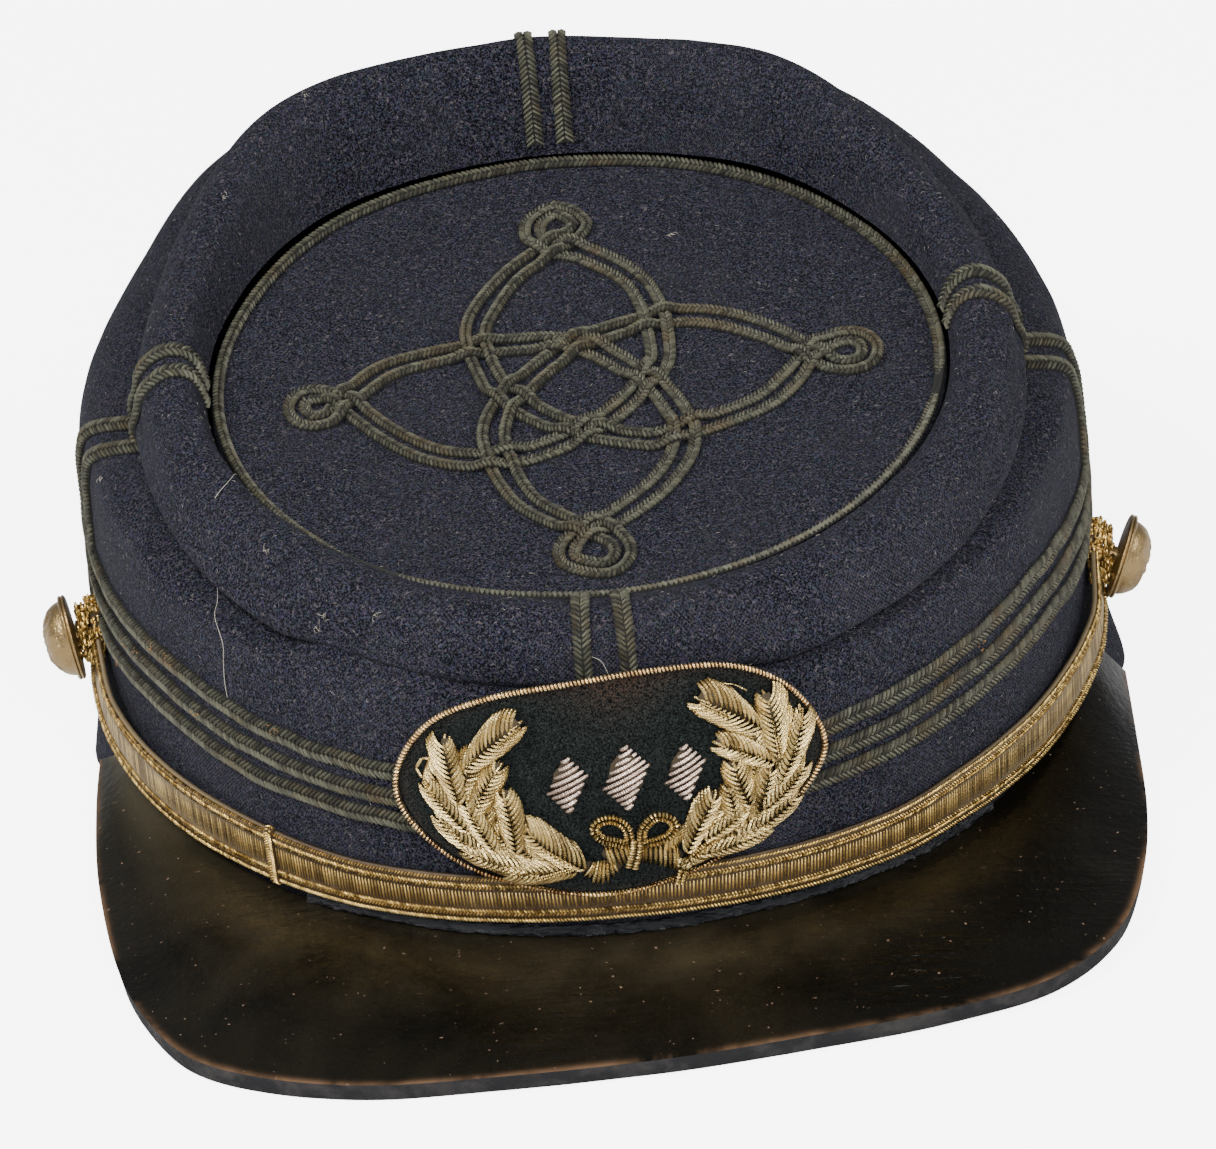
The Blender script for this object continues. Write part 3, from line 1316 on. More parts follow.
# %% Weave the strap
CORD_PITCH, CORD_LEAN, CORD_UP = 0.56, radians(50), 0.12
CORD_BEAD = (0.52, 0.20, 0.30)        # half length, half width and height of a bead
CORD_IN = (0.35, 1.55, 2.05)          # each cord's distance in from the strap's edge
CORD_GOLD = (0.8, 0.62, 0.4)          # and its tone
BAR_PITCH, BAR_WIDE, BAR_HIGH, BAR_UP = 0.58, 0.19, 0.22, 0.02
BAR_IN = CORD_IN[1] + 0.95
WORN_FLAT, WORN_TONE = 0.17, 0.35     # how much lower and darker a worn thread is
WORN_FROM, WORN_OVER = 0.20, 0.12     # where the worn ends start, as a share of the strap
EDGE_ROUND, EDGE_WIDE = 0.25, 0.08


def strap_ground(u, v):
    point, along, out = strap_line.at(u * strap_line.length)
    side = along.cross(out).normalized()
    half = strap_half(u * strap_line.length)
    across = -(v - 0.5) * 2
    rim = EDGE_ROUND * (1 - min(1.0, (1 - abs(across)) / EDGE_WIDE)) ** 2
    return point + side * (across * half) + out * (STRAP_THICK - rim)


def strap_worn(far):
    """0 in the middle of the strap, 1 towards its ends, where the bars have worn away."""
    return clamp((abs(far / strap_line.length - 0.5) - WORN_FROM) / WORN_OVER)


def lace_cord(spots, inset, mirror, gold):
    """Adds slanted gold beads along the strap, at a distance in from each edge."""
    for far, point, along, out, side in strap_line.stations(CORD_PITCH):
        for edge in (-1, 1):
            middle = point + side * edge * (strap_half(far) - inset) + out * (STRAP_THICK + CORD_UP)
            lean = CORD_LEAN * mirror * edge
            direction = along * cos(lean) + side * sin(lean)
            value = gold - WORN_TONE * strap_worn(far) + chance.uniform(-0.5, 0.4)
            spots.append((lay(middle, direction, out, *CORD_BEAD), value))


def ground_tone(u, v):
    return 0.8 * strap_worn(u * strap_line.length)


form = skin_form(200, 8, strap_ground, [("tone", ground_tone)])
bmesh.ops.recalc_face_normals(form, faces=form.faces)
ground = show("strap_ground", form, lace_ground)
keep(ground, "lace")
thicken(ground, STRAP_THICK - 0.05)

spots = []
for inset, mirror, gold in zip(CORD_IN, (1, -1, 1), CORD_GOLD):
    lace_cord(spots, inset, mirror, gold)
for far, point, along, out, side in strap_line.stations(BAR_PITCH):
    worn = strap_worn(far)
    value = 0.75 - WORN_TONE * worn + chance.uniform(-0.55, 0.4)
    sizes = (strap_half(far) - BAR_IN, BAR_WIDE, BAR_HIGH - WORN_FLAT * worn)
    spots.append((lay(point + out * (STRAP_THICK + BAR_UP), side, out, *sizes), value))
form = bmesh.new()
strew(form, few, spots)
keep(show("chin_strap_lace", form, lace), "lace", "chin_strap")
print(len(spots), "threads")

# %% [markdown]
# The keeper is a narrow loop of the same lace, sewn round the strap. Its threads run at a slant.

# %% Keeper
KEEPER_ANGLE = -41.0
KEEPER_LONG, KEEPER_THICK, KEEPER_PITCH = 1.7, 0.3, 0.5
KEEPER_BEAD = (0.58, 0.22, 0.26)
nearest = min(range(STRAP_STEPS + 1), key=lambda i: abs(strap_angles[i] - KEEPER_ANGLE))
keeper_far = strap_line.marks[nearest]
point, along, out = strap_line.at(keeper_far)
across = along.cross(out).normalized()
reach = strap_half(keeper_far) + 0.15
front = STRAP_THICK + KEEPER_THICK
loop_corners = [(-reach, 0.1), (-reach, front * 0.7), (-reach + 0.5, front), (reach - 0.5, front),
                (reach, front * 0.7), (reach, 0.1)]
loop = [point + across * a + out * b for a, b in loop_corners]
loop_outs = [-across, (out - across).normalized(), out, out, (out + across).normalized(), across]
loop_track = Track(loop, loop_outs)
half = KEEPER_LONG / 2
form = strip_form(loop_track, [(-half, 0.0), (half, 0.0), (half, KEEPER_THICK), (-half, KEEPER_THICK)], 0.8)
second_finish(form)
spots = []
for _, here, ahead, away, side in loop_track.stations(KEEPER_PITCH):
    for part in (-1, 1):
        direction = (ahead * 0.55 + side * part * 0.83).normalized()
        middle = here + side * part * half * 0.5 + away * (KEEPER_THICK + 0.05)
        spots.append((lay(middle, direction, away, *KEEPER_BEAD), 0.7 + chance.uniform(-0.5, 0.4)))
strew(form, few, spots)
keep(show("strap_keeper_lace", form, lace, lace_ground), "lace", "strap_keeper")
print("keeper threads", len(spots))

# %% [markdown]
# ## Buttons and tabs
# Each button is a pressed brass dome with a rolled rim on a shank. Its profile is spun round
# its own axis, then small raised dots are set on the dome. It hangs by its shank from a mottled
# lace tab at the end of the strap.

# %% Button
Button = namedtuple("Button", "name side turn droop x z")
BUTTONS = [
    Button("left", -1, 5, 9, 86.9, 25.5),
    Button("right", 1, 10, 20, 87.0, 23.6),
]
BUTTON_Y = -16.0
PROFILE = [
    (0.0, 4.8), (0.9, 4.78), (1.9, 4.7), (2.9, 4.5), (3.9, 4.15), (4.8, 3.6), (5.5, 2.95),
    (6.0, 2.2), (6.25, 1.5), (6.35, 1.0), (6.5, 0.85), (6.7, 0.95), (6.95, 1.0), (7.15, 0.85),
    (7.2, 0.6), (7.0, 0.42), (7.2, 0.25), (7.2, 0.0), (6.9, -0.2), (6.2, -0.1), (5.0, -0.3),
    (3.0, -0.5), (1.3, -0.5), (1.3, -1.8), (0.0, -1.8),
]
DOME_FROM, DOME_REACH = 1.4, 6.0
DENTS = ((0.42, 0.7), (0.24, 1.9))      # depth and fineness of two sizes of dents in the dome
# Rings of raised dots: distance from the axis, height, count and radius of a dot.
DOT_RINGS = ((5.3, 2.45, 20, 0.55), (3.5, 3.95, 11, 0.62), (1.6, 4.5, 5, 0.7))
TAB_RISE, TAB_OFF, TAB_LONG, TAB_WIDE = 1.5, 1.7, 10.0, 6.0


def button_frame(button):
    """The matrix of a button: its own Z along its axis, its origin in the rim's middle."""
    turn, droop = radians(button.turn), radians(button.droop)
    axis = Vector((button.side * cos(turn) * cos(droop), -sin(turn) * cos(droop), -sin(droop)))
    seat = axis.to_track_quat("Z", "Y").to_matrix().to_4x4()
    seat.translation = Vector((button.side * button.x, BUTTON_Y, button.z))
    return seat, axis


def make_button(button):
    seat, axis = button_frame(button)
    form = turned([(r, 0, h) for r, h in PROFILE], (0, 0, 1), 72)
    for vert in form.verts:
        if vert.co.z > DOME_FROM and hypot(vert.co.x, vert.co.y) < DOME_REACH:
            vert.co.z += sum(deep * noise.noise(vert.co * fine) for deep, fine in DENTS)
    bmesh.ops.scale(form, vec=(MM, MM, MM), verts=form.verts)
    move = Matrix.Translation(placed(seat.translation)) @ seat.to_3x3().to_4x4()
    bmesh.ops.transform(form, matrix=move, verts=form.verts)
    one_tone(form, 0.5)
    spots = []
    for reach, height, count, size in DOT_RINGS:
        for k in range(count):
            turn = 2 * pi * (k + 0.3 * chance.uniform(-1, 1)) / count
            middle = seat @ Vector((reach * cos(turn), reach * sin(turn), height))
            dot = lay(middle, seat.col[0].xyz, axis, size, size, size * 0.6)
            spots.append((dot, 0.6 + chance.uniform(-0.2, 0.4)))
    strew(form, fine_bead, spots)
    return keep(show("button_brass_" + button.name, form, brass), "brass", "button_" + button.name)


# %% [markdown]
# The lace behind each button is frayed into a mottled tangle, so short beads lie at all angles
# on a small flat block.

# %% Tab behind the button
TAB_STEPS, TAB_KNOTS = 8, 640
TAB_BEAD = (0.75, 0.26, 0.30)


def make_tab(button):
    angle = button.side * (90 - degrees(asin(-BUTTON_Y / -BODY[0].front_y)))
    heights = [button.z + TAB_RISE + TAB_LONG * (i / TAB_STEPS - 0.5) for i in range(TAB_STEPS + 1)]
    line = Track(*zip(*[on_wall(angle, round(height, 3), TAB_OFF) for height in heights]))
    half = TAB_WIDE / 2
    form = strip_form(line, [(-half, -1.4), (half, -1.4), (half, 0.5), (0, 0.9), (-half, 0.5)], 1.0)
    second_finish(form)
    spots = []
    for _ in range(TAB_KNOTS):
        around = chance.uniform(0, 2 * pi)
        depth = chance.uniform(-0.9, 1)
        near = 1.0 if depth < 0.2 else sqrt(chance.uniform(0.05, 1 - depth * 0.4))
        rise = max(-1.0, min(1.0, 1.3 * near * sin(around)))
        point, along, out = line.at((0.5 + 0.49 * rise) * line.length)
        side = along.cross(out).normalized()
        lean = chance.uniform(0, pi)
        direction = along * cos(lean) + side * sin(lean)
        across = max(-1.0, min(1.0, 1.3 * near * cos(around)))
        middle = point + side * across * half + out * (0.5 + 2.2 * depth)
        spots.append((lay(middle, direction, out, *TAB_BEAD), chance.uniform(0.0, 1.0)))
    strew(form, few, spots)
    tab = show("strap_tab_lace_" + button.name, form, lace, lace_ground)
    keep(tab, "lace", "strap_tab_" + button.name)


for button in BUTTONS:
    made = make_button(button)
    make_tab(button)
    print("button", button.name, len(made.data.polygons), "faces")

# %% [markdown]
# ## Visor
# The visor is a stiff, thick sheet of leather, cut to a soft square, a little domed between
# the band and its edge. Its glossy coat has creased, and rubbed off in a brown line along the
# edge. Four marks on its points drive the finish: how near the edge is, how dull the coat is,
# how black the leather has stayed, and how creased it is.

# %% Visor
VISOR_EDGE = [
    (-84.8, -19.5, 3.8), (-85.2, -38.0, 4.6), (-84.6, -62.0, 4.8), (-81.6, -88.0, 4.4),
    (-77.0, -104.4, 4.0), (-70.0, -117.0, 3.6), (-58.4, -124.6, 3.3), (-42.0, -129.4, 3.2),
    (-20.0, -130.2, 3.2), (4.0, -129.2, 3.2), (26.0, -126.2, 3.2), (48.0, -122.0, 3.3),
    (65.4, -115.8, 3.6), (76.9, -103.4, 4.0), (82.6, -87.0, 4.4), (85.3, -68.0, 4.8),
    (86.2, -44.0, 4.6), (86.8, -20.0, 3.8),
]
# Height of the leather where it meets the wall, by angle.
VISOR_ROOT = [
    (-76, 7.0), (-70, 9.2), (-62, 9.0), (-52, 8.0), (-42, 7.6), (-28, 8.0), (0, 8.3),
    (28, 8.0), (42, 7.6), (52, 7.9), (62, 9.5), (70, 11.3), (76, 12.0),
]
VISOR_THICK = 3.2
VISOR_END_ANGLE = 76.0
VISOR_GAP = 0.8       # how far its inner edge stays clear of the band
VISOR_CROWN = 0.8
VISOR_COLUMNS, VISOR_ROWS = 190, 46
VISOR_ROUNDING, RUBBED_WIDE = 0.35, 0.8
VISOR_RIPPLES = ((0.35, 17, 0), (0.12, 5, 5))     # height, width and layer of the noise


@lru_cache(maxsize=None)
def visor_line(u):
    """Where a column of the visor starts at the band, and where it ends at the rim."""
    rim = Vector(smooth(VISOR_EDGE, u * (len(VISOR_EDGE) - 1)))
    angle = round(VISOR_END_ANGLE * (2 * u - 1), 3)
    wall, _ = on_wall(angle, round(lookup(VISOR_ROOT, angle)[1], 3), 0)
    return wall + Vector((wall.x, wall.y, 0)).normalized() * VISOR_GAP, rim


def visor_share(v):
    return 1 - (1 - v) ** 1.5


def visor_spot(u, v):
    root, rim = visor_line(round(1 - u, 5))
    share = visor_share(v)
    point = root.lerp(rim, share)
    crown = VISOR_CROWN * 4 * share * (1 - share) * sin(pi * u)
    ripple = sum(high * noise.noise(Vector((point.x, point.y, layer)) / wide)
                 for high, wide, layer in VISOR_RIPPLES)
    return point + Vector((0, 0, crown + ripple * min(1.0, 4 * share * (1 - share) + 0.1)))


# %% [markdown]
# The marks are plain functions of the grid's u and v, stored on the points, and the material
# reads them by name.

# %% Marks on the leather
def near_edge(u, v):
    root, rim = visor_line(round(1 - u, 5))
    far = (1 - visor_share(v)) * (rim - root).length
    return exp(-(far / RUBBED_WIDE) ** 2)


def dull_coat(u, v):
    """The coat has gone dull at the left, most of all near the band."""
    return clamp((u - 0.80) / 0.14) * (1 - 0.5 * v)


def dark_side(u, v):
    """The right of the visor and the part along its rim have kept their black."""
    return min(1.0, max(0.0, (0.42 - u) / 0.24) + 0.75 * clamp((v - 0.22) / 0.3))


# Creased places: middle, spread, and how deep.
CREASES = [((44, -112), 12, 1.0), ((-12, -118), 13, 0.7), ((-52, -78), 15, 0.5), ((70, -90), 10, 0.35)]


def crease(u, v):
    spot = visor_spot(u, v)
    return sum(deep * exp(-((spot.x - x) ** 2 + (spot.y - y) ** 2) / wide ** 2)
               for (x, y), wide, deep in CREASES)


marks = [("edge", near_edge), ("dull", dull_coat), ("shade", dark_side), ("crease", crease)]
form = skin_form(VISOR_COLUMNS, VISOR_ROWS, visor_spot, marks)
visor = show("visor_leather", form, leather, cut_edge)
keep(visor, "leather", "visor")
thicken(visor, VISOR_THICK, rim_slot=1, rounding=VISOR_ROUNDING)
print("visor:", len(visor.data.polygons), "faces")

# %% [markdown]
# A thin rolled strip of leather lies over the front of the seam between the visor and the strap.
# It has dried out, so it is crinkled and catches small lights.

# %% Welt
WELT_FROM, WELT_TO = -37.0, 46.0
WELT_RADIUS, WELT_OFF, WELT_STEPS, WELT_SIDES = 0.95, 0.2, 126, 12
CRINKLES = ((0.36, 0.9), (0.22, 2.4))     # height and width
points, outs = [], []
for i in range(WELT_STEPS + 1):
    angle = WELT_FROM + (WELT_TO - WELT_FROM) * i / WELT_STEPS
    height = lookup(VISOR_ROOT, angle)[1] + WELT_RADIUS * 0.9
    point, _ = on_wall(angle, round(height, 3), 0)
    out = Vector((point.x, point.y, 0)).normalized()
    points.append(point + out * (WELT_RADIUS + WELT_OFF))
    outs.append(out)
welt_line = Track(points, outs)


def round_section(radius, sides):
    turns = [2 * pi * k / sides for k in range(sides)]
    return [(radius * cos(turn), radius * sin(turn)) for turn in turns]


form = strip_form(welt_line, round_section(WELT_RADIUS, WELT_SIDES), 0.5)
for vert in form.verts:
    crinkle = sum(high * noise.noise(vert.co / MM / wide) for high, wide in CRINKLES)
    nearest = min(range(len(points)), key=lambda i: (placed(points[i]) - vert.co).length)
    point, along, out = welt_line.at(nearest * welt_line.length / WELT_STEPS)
    vert.co += (vert.co - placed(point)).normalized() * crinkle * MM
keep(show("visor_welt_leather", form, piping), "leather", "visor_welt")
print("welt", round(welt_line.length), "mm")

# %% [markdown]
# ## Badge
# The badge is an oval of black velvet over a stiff card, flatter than the wall behind it, so
# its ends stand off the wool. Everything on it lies on the same bent surface, measured as x and
# z, so one function places velvet, border, leaves and bow.

# %% The badge's surface
BADGE_REACH = [(12.0, 101.8), (24.0, 101.6), (36.0, 100.4), (48.0, 97.4), (60.0, 93.4)]
BADGE_HALF_WIDE = 86.0
BADGE_THICK = 1.4
BADGE_OUTLINE = [
    (32.2, 36.0), (30.2, 43.6), (25.2, 49.4), (17.4, 53.0), (6.0, 53.8), (-6.0, 52.9), (-18.0, 51.0),
    (-27.4, 46.8), (-33.0, 39.0), (-32.6, 31.6), (-25.4, 24.2), (-14.0, 20.0), (-2.0, 18.4), (9.0, 20.4),
    (17.6, 23.8), (26.4, 28.6),
]
BADGE_MIDDLE = (-0.5, 36.0)
FRONT = BADGE_THICK + 0.3                       # the height over the wall of what lies on the velvet
PILE = ((0.16, 1.4, 0), (0.22, 6, 3))           # height, width and layer of the noise
PATCH_ROUND, PATCH_ROUND_FROM = 0.5, 0.96


def badge_point(x, z, off):
    reach = lookup(BADGE_REACH, z)[1]
    y = -reach * sqrt(1 - (x / BADGE_HALF_WIDE) ** 2)
    out = Vector((x / BADGE_HALF_WIDE ** 2, y / reach ** 2, 0)).normalized()
    return Vector((x, y, z)) + out * off


def badge_out(x, z):
    return (badge_point(x, z, 1) - badge_point(x, z, 0)).normalized()


def velvet_spot(u, v):
    x, z = smooth(BADGE_OUTLINE, (u % 1) * len(BADGE_OUTLINE), closed=True)
    share = 1 - v
    x = BADGE_MIDDLE[0] + (x - BADGE_MIDDLE[0]) * share
    z = BADGE_MIDDLE[1] + (z - BADGE_MIDDLE[1]) * share
    pile = sum(high * noise.noise(Vector((x, z, layer)) / wide) for high, wide, layer in PILE)
    rounded = PATCH_ROUND * max(0.0, (share - PATCH_ROUND_FROM) / (1 - PATCH_ROUND_FROM)) ** 2
    return badge_point(x, z, BADGE_THICK + pile * (1 - rounded) - rounded)


def rubbed_velvet(u, v):
    """The pile is rubbed red-brown under the middle of the upper border, and along the rim."""
    x, z = smooth(BADGE_OUTLINE, (u % 1) * len(BADGE_OUTLINE), closed=True)
    top = exp(-((x - 2) / 9) ** 2) * exp(-(v / 0.30) ** 2) if z > 45 else 0.0
    return min(1.0, 0.8 * top + 0.4 * exp(-(v / 0.06) ** 2))


form = skin_form(160, 40, velvet_spot, [("rubbed", rubbed_velvet)])
bmesh.ops.recalc_face_normals(form, faces=form.faces)
faces_back = sum((f.normal * f.calc_area() for f in form.faces), Vector()).y > 0
if faces_back:
    bmesh.ops.reverse_faces(form, faces=form.faces)
patch_piece = keep(show("badge_velvet", form, velvet), "velvet", "badge_patch")
thicken(patch_piece, BADGE_THICK)
print("velvet:", len(patch_piece.data.polygons), "faces")

# %% [markdown]
# The border is a string of fine turned wire that looks like a row of slanted beads.

# %% Border
BORDER_PITCH, BORDER_SLANT, BORDER_BEAD, BORDER_FINE, BORDER_UP = 0.60, 0.28, 0.58, 0.27, 0.30
BORDER_DULL_FROM, BORDER_DULL_OVER = 30, 8      # below this height the wire is dull and thin,
BRIGHT_X, BRIGHT_WIDE = -4.5, 2.4               # but for one bright stretch
border_spots = [smooth(BADGE_OUTLINE, i / 10, closed=True) for i in range(10 * len(BADGE_OUTLINE))]
border_line = Track([badge_point(x, z, BADGE_THICK + 0.05) for x, z in border_spots],
                    [badge_out(x, z) for x, z in border_spots], closed=True)
spots = []
for _, point, along, out, side in border_line.stations(BORDER_PITCH):
    direction = (side + along * BORDER_SLANT).normalized()
    dull = clamp((BORDER_DULL_FROM - point.z) / BORDER_DULL_OVER)
    bright = exp(-((point.x - BRIGHT_X) / BRIGHT_WIDE) ** 2) * dull
    size = BORDER_BEAD - 0.16 * dull + 0.10 * bright
    value = 0.6 - 0.6 * dull + bright + chance.uniform(-0.35, 0.4)
    spots.append((lay(point + out * BORDER_UP, direction, out, size, BORDER_FINE, size), value))
form = bmesh.new()
strew(form, fine_bead, spots)
keep(show("badge_border_wire", form, copper), "wire", "badge_border")
print("border:", len(spots), "beads")

# %% [markdown]
# ## Wreath
# The leaves are bullion: metal thread wound into a fine hollow coil, cut into short lengths and
# sewn down over padding like long beads. Each leaf is two rows of them that spring from a vein
# and bend towards the tip. A length is one rod, spun once and then bent through three points.
# Its coil is too fine to model, so the distance along the rod drives a ripple in the material.

# %% Rods that bend
Run = namedtuple("Run", "start middle end out wide high tone")


def rod(profile, sides):
    """A closed rod from x = -1 to 1, one unit in radius, turned from a profile of (x, radius)."""
    return small_mesh("rod", turned([(x, 0, r) for x, r in profile], (1, 0, 0), sides))


def lay_rods(form, pattern, runs):
    """Adds a bent copy of a rod for each run. Points are in millimetres."""
    rest = np.array([v.co for v in pattern.vertices])
    s = (rest[:, :1] + 1) / 2
    shift = np.array((0, HEAD_Y, 0))
    scratch = pattern.copy()
    tones = scratch.attributes.new("tone", "FLOAT", "POINT")
    fars = scratch.attributes.new("far", "FLOAT", "POINT")
    crests = scratch.attributes.new("crest", "FLOAT", "POINT")
    crests.data.foreach_set("value", (0.5 + 0.5 * rest[:, 2]).astype(np.float32))
    for run in runs:
        a, b = np.array(run.start), np.array(run.end)
        pull = 2 * np.array(run.middle) - (a + b) / 2
        line = (1 - s) ** 2 * a + 2 * s * (1 - s) * pull + s ** 2 * b
        ahead = (1 - s) * (pull - a) + s * (b - pull)
        ahead /= np.linalg.norm(ahead, axis=1, keepdims=True)
        side = np.cross(np.array(run.out), ahead)
        side /= np.linalg.norm(side, axis=1, keepdims=True)
        up = np.cross(ahead, side)
        co = (line + side * rest[:, 1:2] * run.wide + up * rest[:, 2:3] * run.high + shift) * MM
        scratch.vertices.foreach_set("co", co.ravel())
        tones.data.foreach_set("value", np.full(len(rest), run.tone, np.float32))
        fars.data.foreach_set("value", (s[:, 0] * np.linalg.norm(b - a)).astype(np.float32))
        form.from_mesh(scratch)
    bpy.data.meshes.remove(scratch)


ROD_PROFILE = [(-1, 0), (-0.97, 0.5), (-0.88, 0.85), (-0.6, 1), (-0.2, 1.04), (0.2, 1.04), (0.6, 1),
               (0.88, 0.85), (0.97, 0.5), (1, 0)]
thread_rod = rod(ROD_PROFILE, 6)
print("a thread has", len(thread_rod.polygons), "faces")

# %% [markdown]
# Leaves, edges and bundles are measured as x and z on the badge. Each leaf has a foot, a tip, a
# width to each side and a bend. The last leaves of a branch lie low and fill between the others.

# %% Tables of the wreath
Leaf = namedtuple("Leaf", "foot_x foot_z tip_x tip_z left right bend lift", defaults=[1.3])
LEAVES = {
    "wreath_left": [
        Leaf(-22.6, 40.2, -13.3, 47.9, 2.7, 2.2, 0.5),
        Leaf(-23.6, 34.6, -25.2, 45.4, 2.6, 1.6, 0.3),
        Leaf(-22.6, 30.2, -28.6, 38.0, 1.8, 1.8, 0.3),
        Leaf(-22.2, 32.2, -16.8, 41.4, 1.6, 2.0, 0.5),
        Leaf(-18.8, 26.8, -22.8, 35.6, 1.8, 1.6, 0.4),
        Leaf(-15.8, 26.6, -17.2, 37.4, 2.0, 1.9, -0.4),
        Leaf(-20.6, 25.6, -27.4, 33.0, 1.7, 1.6, 0.5),
        Leaf(-14.4, 23.8, -24.4, 27.4, 1.5, 1.6, 0.6),
        Leaf(-5.6, 23.9, -14.2, 31.4, 1.7, 3.0, 0.9),
        Leaf(-6.8, 23.6, -18.4, 23.3, 1.9, 2.2, 0.3),
        Leaf(-20.4, 29.6, -20.2, 38.4, 2.3, 2.3, 0.0, 0.7),
        Leaf(-24.6, 28.8, -26.0, 38.2, 2.2, 2.2, 0.0, 0.7),
        Leaf(-12.0, 25.2, -19.6, 29.8, 2.4, 2.4, 0.0, 0.7),
        Leaf(-24.2, 35.2, -20.4, 42.8, 2.3, 2.3, 0.0, 0.7),
        Leaf(-11.0, 22.6, -21.0, 25.6, 1.9, 2.2, 0.0, 0.7),
        Leaf(-8.0, 24.6, -13.6, 28.4, 2.0, 2.2, 0.0, 0.7),
    ],
    "wreath_right": [
        Leaf(22.6, 42.4, 12.8, 49.3, 2.7, 2.8, -0.7),
        Leaf(24.6, 37.6, 23.2, 48.2, 2.0, 2.8, -0.4),
        Leaf(24.2, 33.2, 28.6, 44.6, 1.4, 2.3, -0.8),
        Leaf(24.0, 36.8, 15.0, 42.0, 1.8, 2.1, -0.3),
        Leaf(19.8, 30.6, 17.8, 38.8, 1.9, 2.3, 0.3),
        Leaf(21.6, 29.6, 28.8, 36.2, 1.6, 1.7, -0.6),
        Leaf(18.2, 26.6, 16.8, 35.4, 1.5, 1.7, 0.3),
        Leaf(17.2, 25.6, 27.6, 31.4, 1.6, 1.7, -0.7),
        Leaf(9.6, 24.9, 15.0, 34.2, 2.2, 1.8, 0.3),
        Leaf(11.4, 24.2, 23.4, 26.9, 1.5, 1.5, -0.7),
        Leaf(12.4, 26.6, 19.2, 30.6, 1.3, 1.3, -0.3),
        Leaf(20.6, 27.4, 23.6, 36.4, 2.3, 2.3, 0.0, 0.7),
        Leaf(25.2, 30.4, 27.4, 39.6, 2.1, 2.1, 0.0, 0.7),
        Leaf(21.2, 35.4, 21.2, 43.6, 2.3, 2.3, 0.0, 0.7),
        Leaf(13.8, 24.8, 21.4, 29.2, 2.0, 2.2, 0.0, 0.7),
        Leaf(12.0, 26.6, 15.8, 33.2, 2.0, 2.0, 0.0, 0.7),
        Leaf(25.8, 36.6, 25.4, 45.0, 2.1, 2.1, 0.0, 0.7),
    ],
}
THREAD_WIDE, THREAD_HIGH = 0.32, 0.44
LEAF_STEP, LEAF_END = 0.90, 0.90        # the pitch of a leaf's threads, and the share they cover
THREAD_REACH, THREAD_AHEAD = 1.08, 1.45
BEND_ACROSS, BEND_AHEAD = 0.62, 0.57      # where a thread's middle is, as shares of its reach
TONE_SPREAD = 0.35
LIFT_STEP = 0.14                        # leaves lie over each other in three layers
FRINGE_LIFT = 1.0
# Threads that slant along a branch's edge fill it out: which side the branch is on (+1 left of the
# line, -1 right), and the line from foot to tip.
Fringe = namedtuple("Fringe", "inward line")
FRINGES = {
    "wreath_left": [
        Fringe(-1, [(-8.0, 22.6), (-13.4, 22.2), (-18.7, 23.1), (-24.8, 27.3), (-27.4, 32.2), (-28.8, 37.4),
                    (-27.4, 42.0)]),
        Fringe(1, [(-6.2, 27.7), (-10.9, 29.6), (-15.0, 32.6), (-17.3, 36.3), (-17.6, 40.4)]),
    ],
    "wreath_right": [
        Fringe(1, [(8.6, 22.3), (11.8, 22.8), (16.2, 24.6), (22.2, 28.0), (25.8, 31.2), (28.2, 35.4),
                   (28.2, 40.4), (26.8, 44.6)]),
        Fringe(-1, [(6.2, 26.8), (9.5, 29.0), (13.4, 31.7), (16.7, 34.6), (18.0, 38.5), (17.4, 41.4)]),
    ],
}
# Bundles of upright threads where the branches meet: heads and feet along two lines.
Bundle = namedtuple("Bundle", "heads feet count")
BUNDLES = {
    "wreath_left": [
        Bundle([(-2.6, 28.0), (-0.8, 28.0), (0.9, 27.7)], [(-1.5, 23.3), (0.2, 23.7), (1.7, 24.3)], 6),
        Bundle([(-4.4, 24.6), (-3.0, 24.9), (-1.5, 24.6)],
               [(-6.0, 22.4), (-4.6, 20.8), (-2.8, 20.9), (-0.8, 22.7)], 8),
    ],
    "wreath_right": [
        Bundle([(3.2, 27.8), (5.8, 27.3), (8.4, 26.6)], [(2.9, 23.9), (5.6, 22.9), (8.1, 21.7)], 9),
    ],
}


print(sum(len(leaves) for leaves in LEAVES.values()), "leaves")

# %% [markdown]
# Threads spring from a leaf's vein to both sides, long in the middle and short at the ends, over
# a pad that lifts them.

# %% Threads of a leaf, an edge and a bundle
def on_badge(flat, off):
    return badge_point(flat.x, flat.y, FRONT + off)


def flat_on(out, way):
    """The part of a direction that lies flat under a way out."""
    return (way - out * way.dot(out)).normalized()


def spread_tone():
    return chance.uniform(-TONE_SPREAD, TONE_SPREAD)


def fine_path(line):
    return [Vector(smooth(line, i / 8)) for i in range(8 * (len(line) - 1) + 1)]


